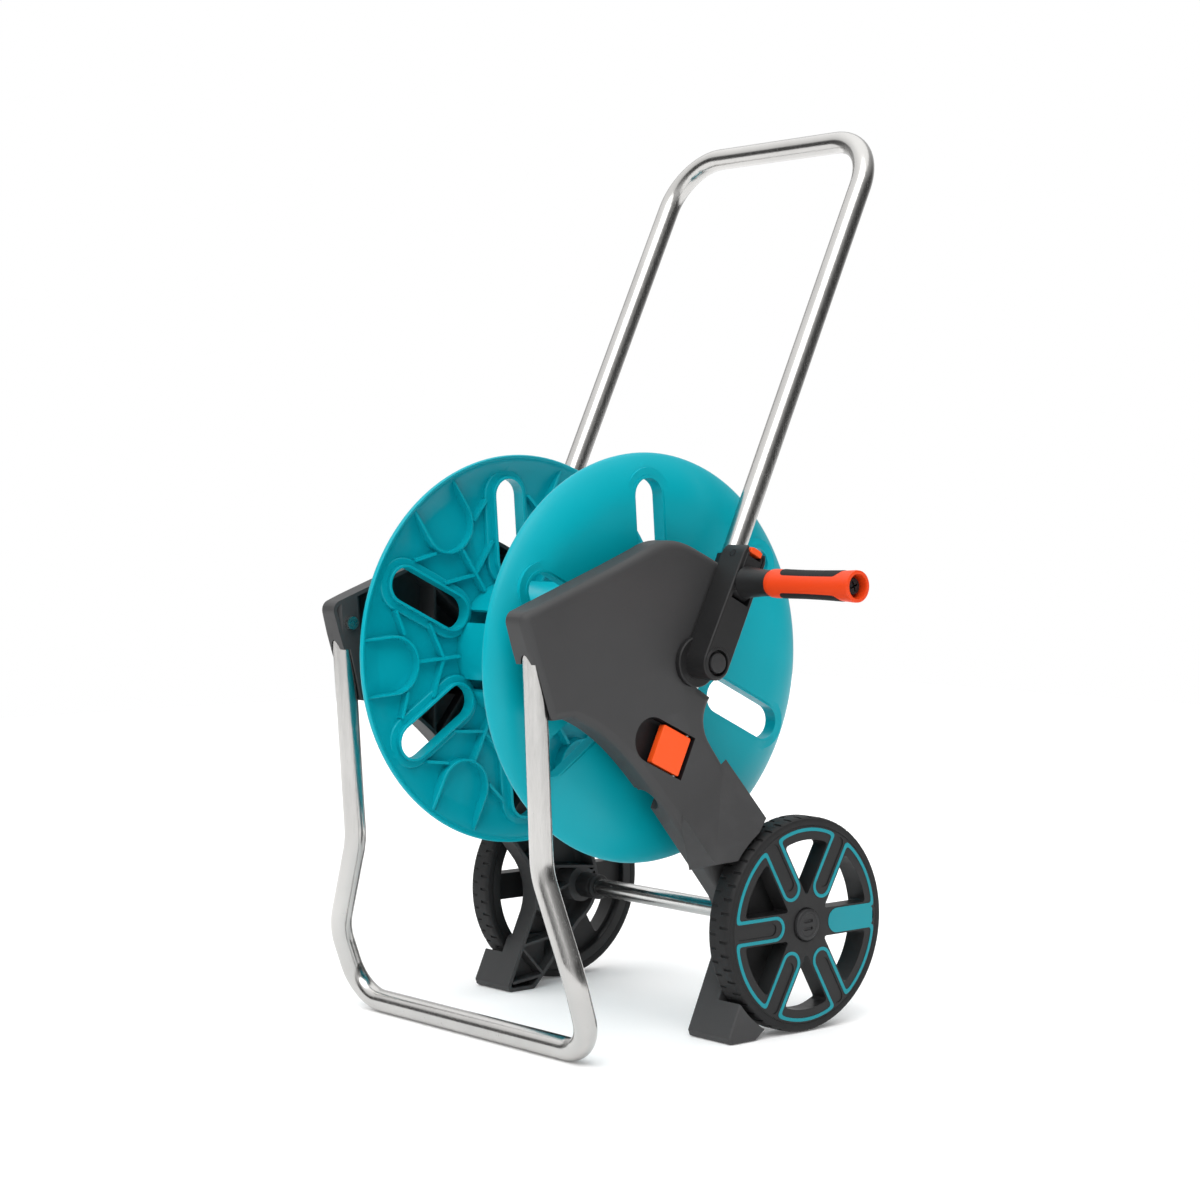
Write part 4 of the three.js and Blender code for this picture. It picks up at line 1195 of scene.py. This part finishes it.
latch_right = latch()
latch_right.name = "latch_tile_near"
latch_left = mirrored(latch_right, "latch_tile_far")
finish_piece(latch_right, ORANGE_MAT, "latch_right", "orange_plastic", ["latch_lever_right"], 0, 35)
finish_piece(latch_left, ORANGE_MAT, "latch_left", "orange_plastic", ["latch_lever_left"], 0, 35)


# ---- water inlet

def inlet():
    body = lathe("tap_connector", [
        (0, -152.5), (16.4, -152.5), (17, -153.4), (17, -162), (16, -163), (16, -166), (17, -167),
        (17, -179), (15.6, -182.6), (13, -184), (0, -184),
    ], 0, DRUM_Z, 60)
    tilt = math.radians(-125)

    def ray(r):
        return (-172, r * math.cos(tilt), DRUM_Z + r * math.sin(tilt))

    pieces = [rod("nipple", ray(0), ray(57.6), 8.6, 36), rod("nut", ray(24), ray(30), 12.8, 6)]
    for start in (40, 46, 52):
        pieces.append(rod("barb", ray(start), ray(start + 2.5), 9.6, 36))
    union(body, *pieces)
    cut(body, rod("bore", ray(10), ray(70), 5.5, 24),
        lathe("socket", [(0, -140), (12, -140), (12, -169), (0, -169)], 0, DRUM_Z, 40))
    return body


finish_piece(inlet(), BLACK_MAT, "inlet", "black_plastic", ["inlet_housing"], 0.4, 35)


# ---- CAD pieces that stay

carried = {
    "flange_screw": PLATED_MAT, "stand_screw": PLATED_MAT, "axle_clip": PLATED_MAT,
    "latch_pin": PLATED_MAT, "fold_pin": BLACK_AND_SHADE_MAT, "crank_screw": PLATED_MAT,
    "grip_spindle": PLATED_MAT, "inlet_seal": RUBBER_MAT, "crank_shaft": BLACK_AND_SHADE_MAT,
    "water_shaft": BLACK_AND_SHADE_MAT, "outlet_nipple": BLACK_AND_SHADE_MAT, "drum_bearing": BLACK_AND_SHADE_MAT,
    "handle_plug": BLACK_AND_SHADE_MAT, "handle_bush": BLACK_AND_SHADE_MAT,
}
for node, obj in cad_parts.items():
    for key, material in carried.items():
        if node.startswith(key):
            obj.data.materials.clear()
            obj.data.materials.append(material)
            soften(obj, 0.3, 40)


# ---- floor and light

def floor_material():
    material, nodes, links, shader = new_material("pale_floor")
    coords = nodes.new("ShaderNodeTexCoord").outputs["Object"]
    tone = ramp(nodes, links, noise(nodes, links, coords, 2.0), 0.0, 1.0)
    links.new(mix_colour(nodes, links, tone, (0.93, 0.93, 0.93), (0.96, 0.96, 0.96)),
              shader.inputs["Base Color"])
    shader.inputs["Roughness"].default_value = 0.8
    shader.inputs["Specular IOR Level"].default_value = 0.1
    shader.inputs["Emission Color"].default_value = (1, 1, 1, 1)
    shader.inputs["Emission Strength"].default_value = 0.1
    return material


FLOOR = 3.2
floor_mesh = bpy.data.meshes.new("floor")
corners = [(-FLOOR, -FLOOR, 0), (FLOOR, -FLOOR, 0), (FLOOR, FLOOR, 0), (-FLOOR, FLOOR, 0)]
floor_mesh.from_pydata(corners, [], [(0, 1, 2, 3)])
floor_mesh.materials.append(floor_material())
floor = place("floor", floor_mesh)
floor.location.z = cad_box[0].z - 0.0005


def sun_light(name, azimuth, elevation, angle, power):
    data = bpy.data.lights.new(name, "SUN")
    data.energy = power
    data.angle = math.radians(angle)
    obj = bpy.data.objects.new(name, data)
    a, e = math.radians(azimuth), math.radians(elevation)
    back = Vector((math.sin(a) * math.cos(e), -math.cos(a) * math.cos(e), math.sin(e)))
    obj.rotation_mode = "QUATERNION"
    obj.rotation_quaternion = (-back).to_track_quat("-Z", "Y")
    bpy.context.scene.collection.objects.link(obj)


# Both lights stand in front: a broad soft key on the crank side, a high fill on the other.
sun_light("key_light", 40, 50, 50, 1.45)
sun_light("top_fill", -40, 74, 110, 1.6)

# The studio seen in the gloss: light walls before and behind the cart, dark ones at its sides,
# and a bright ceiling.
world = bpy.data.worlds.new("studio")
world.use_nodes = True
world_nodes, world_links = world.node_tree.nodes, world.node_tree.links
direction = world_nodes.new("ShaderNodeTexCoord").outputs["Generated"]
split = world_nodes.new("ShaderNodeSeparateXYZ")
world_links.new(direction, split.inputs["Vector"])
facing = world_nodes.new("ShaderNodeVectorMath")
facing.operation = "DOT_PRODUCT"
facing.inputs[1].default_value = (math.sin(CAMERA_AZIMUTH), -math.cos(CAMERA_AZIMUTH), 0)
world_links.new(direction, facing.inputs[0])
around = ramp(world_nodes, world_links, facing.outputs["Value"], 0.0, 1.0, -1.0, 1.0)
walls = stops(world_nodes, world_links, around, [
    (0.0, 0.75), (0.1, 0.6), (0.28, 0.15), (0.5, 0.07), (0.8, 0.1), (0.92, 0.4), (1.0, 0.7),
])
height = ramp(world_nodes, world_links, split.outputs["Z"], 0.0, 1.0, 0.3, 0.9)
room = world_nodes.new("ShaderNodeMix")
room.data_type = "FLOAT"
world_links.new(height, room.inputs["Factor"])
world_links.new(walls, room.inputs["A"])
room.inputs["B"].default_value = 0.85
path = world_nodes.new("ShaderNodeLightPath")
seen = world_nodes.new("ShaderNodeMix")
seen.data_type = "FLOAT"
world_links.new(path.outputs["Is Camera Ray"], seen.inputs["Factor"])
world_links.new(room.outputs["Result"], seen.inputs["A"])
seen.inputs["B"].default_value = 1.0
backdrop = world_nodes["Background"]
backdrop.inputs["Color"].default_value = (1.0, 1.0, 1.0, 1.0)
world_links.new(seen.outputs["Result"], backdrop.inputs["Strength"])
bpy.context.scene.world = world
bpy.context.scene.view_settings.view_transform = "Standard"
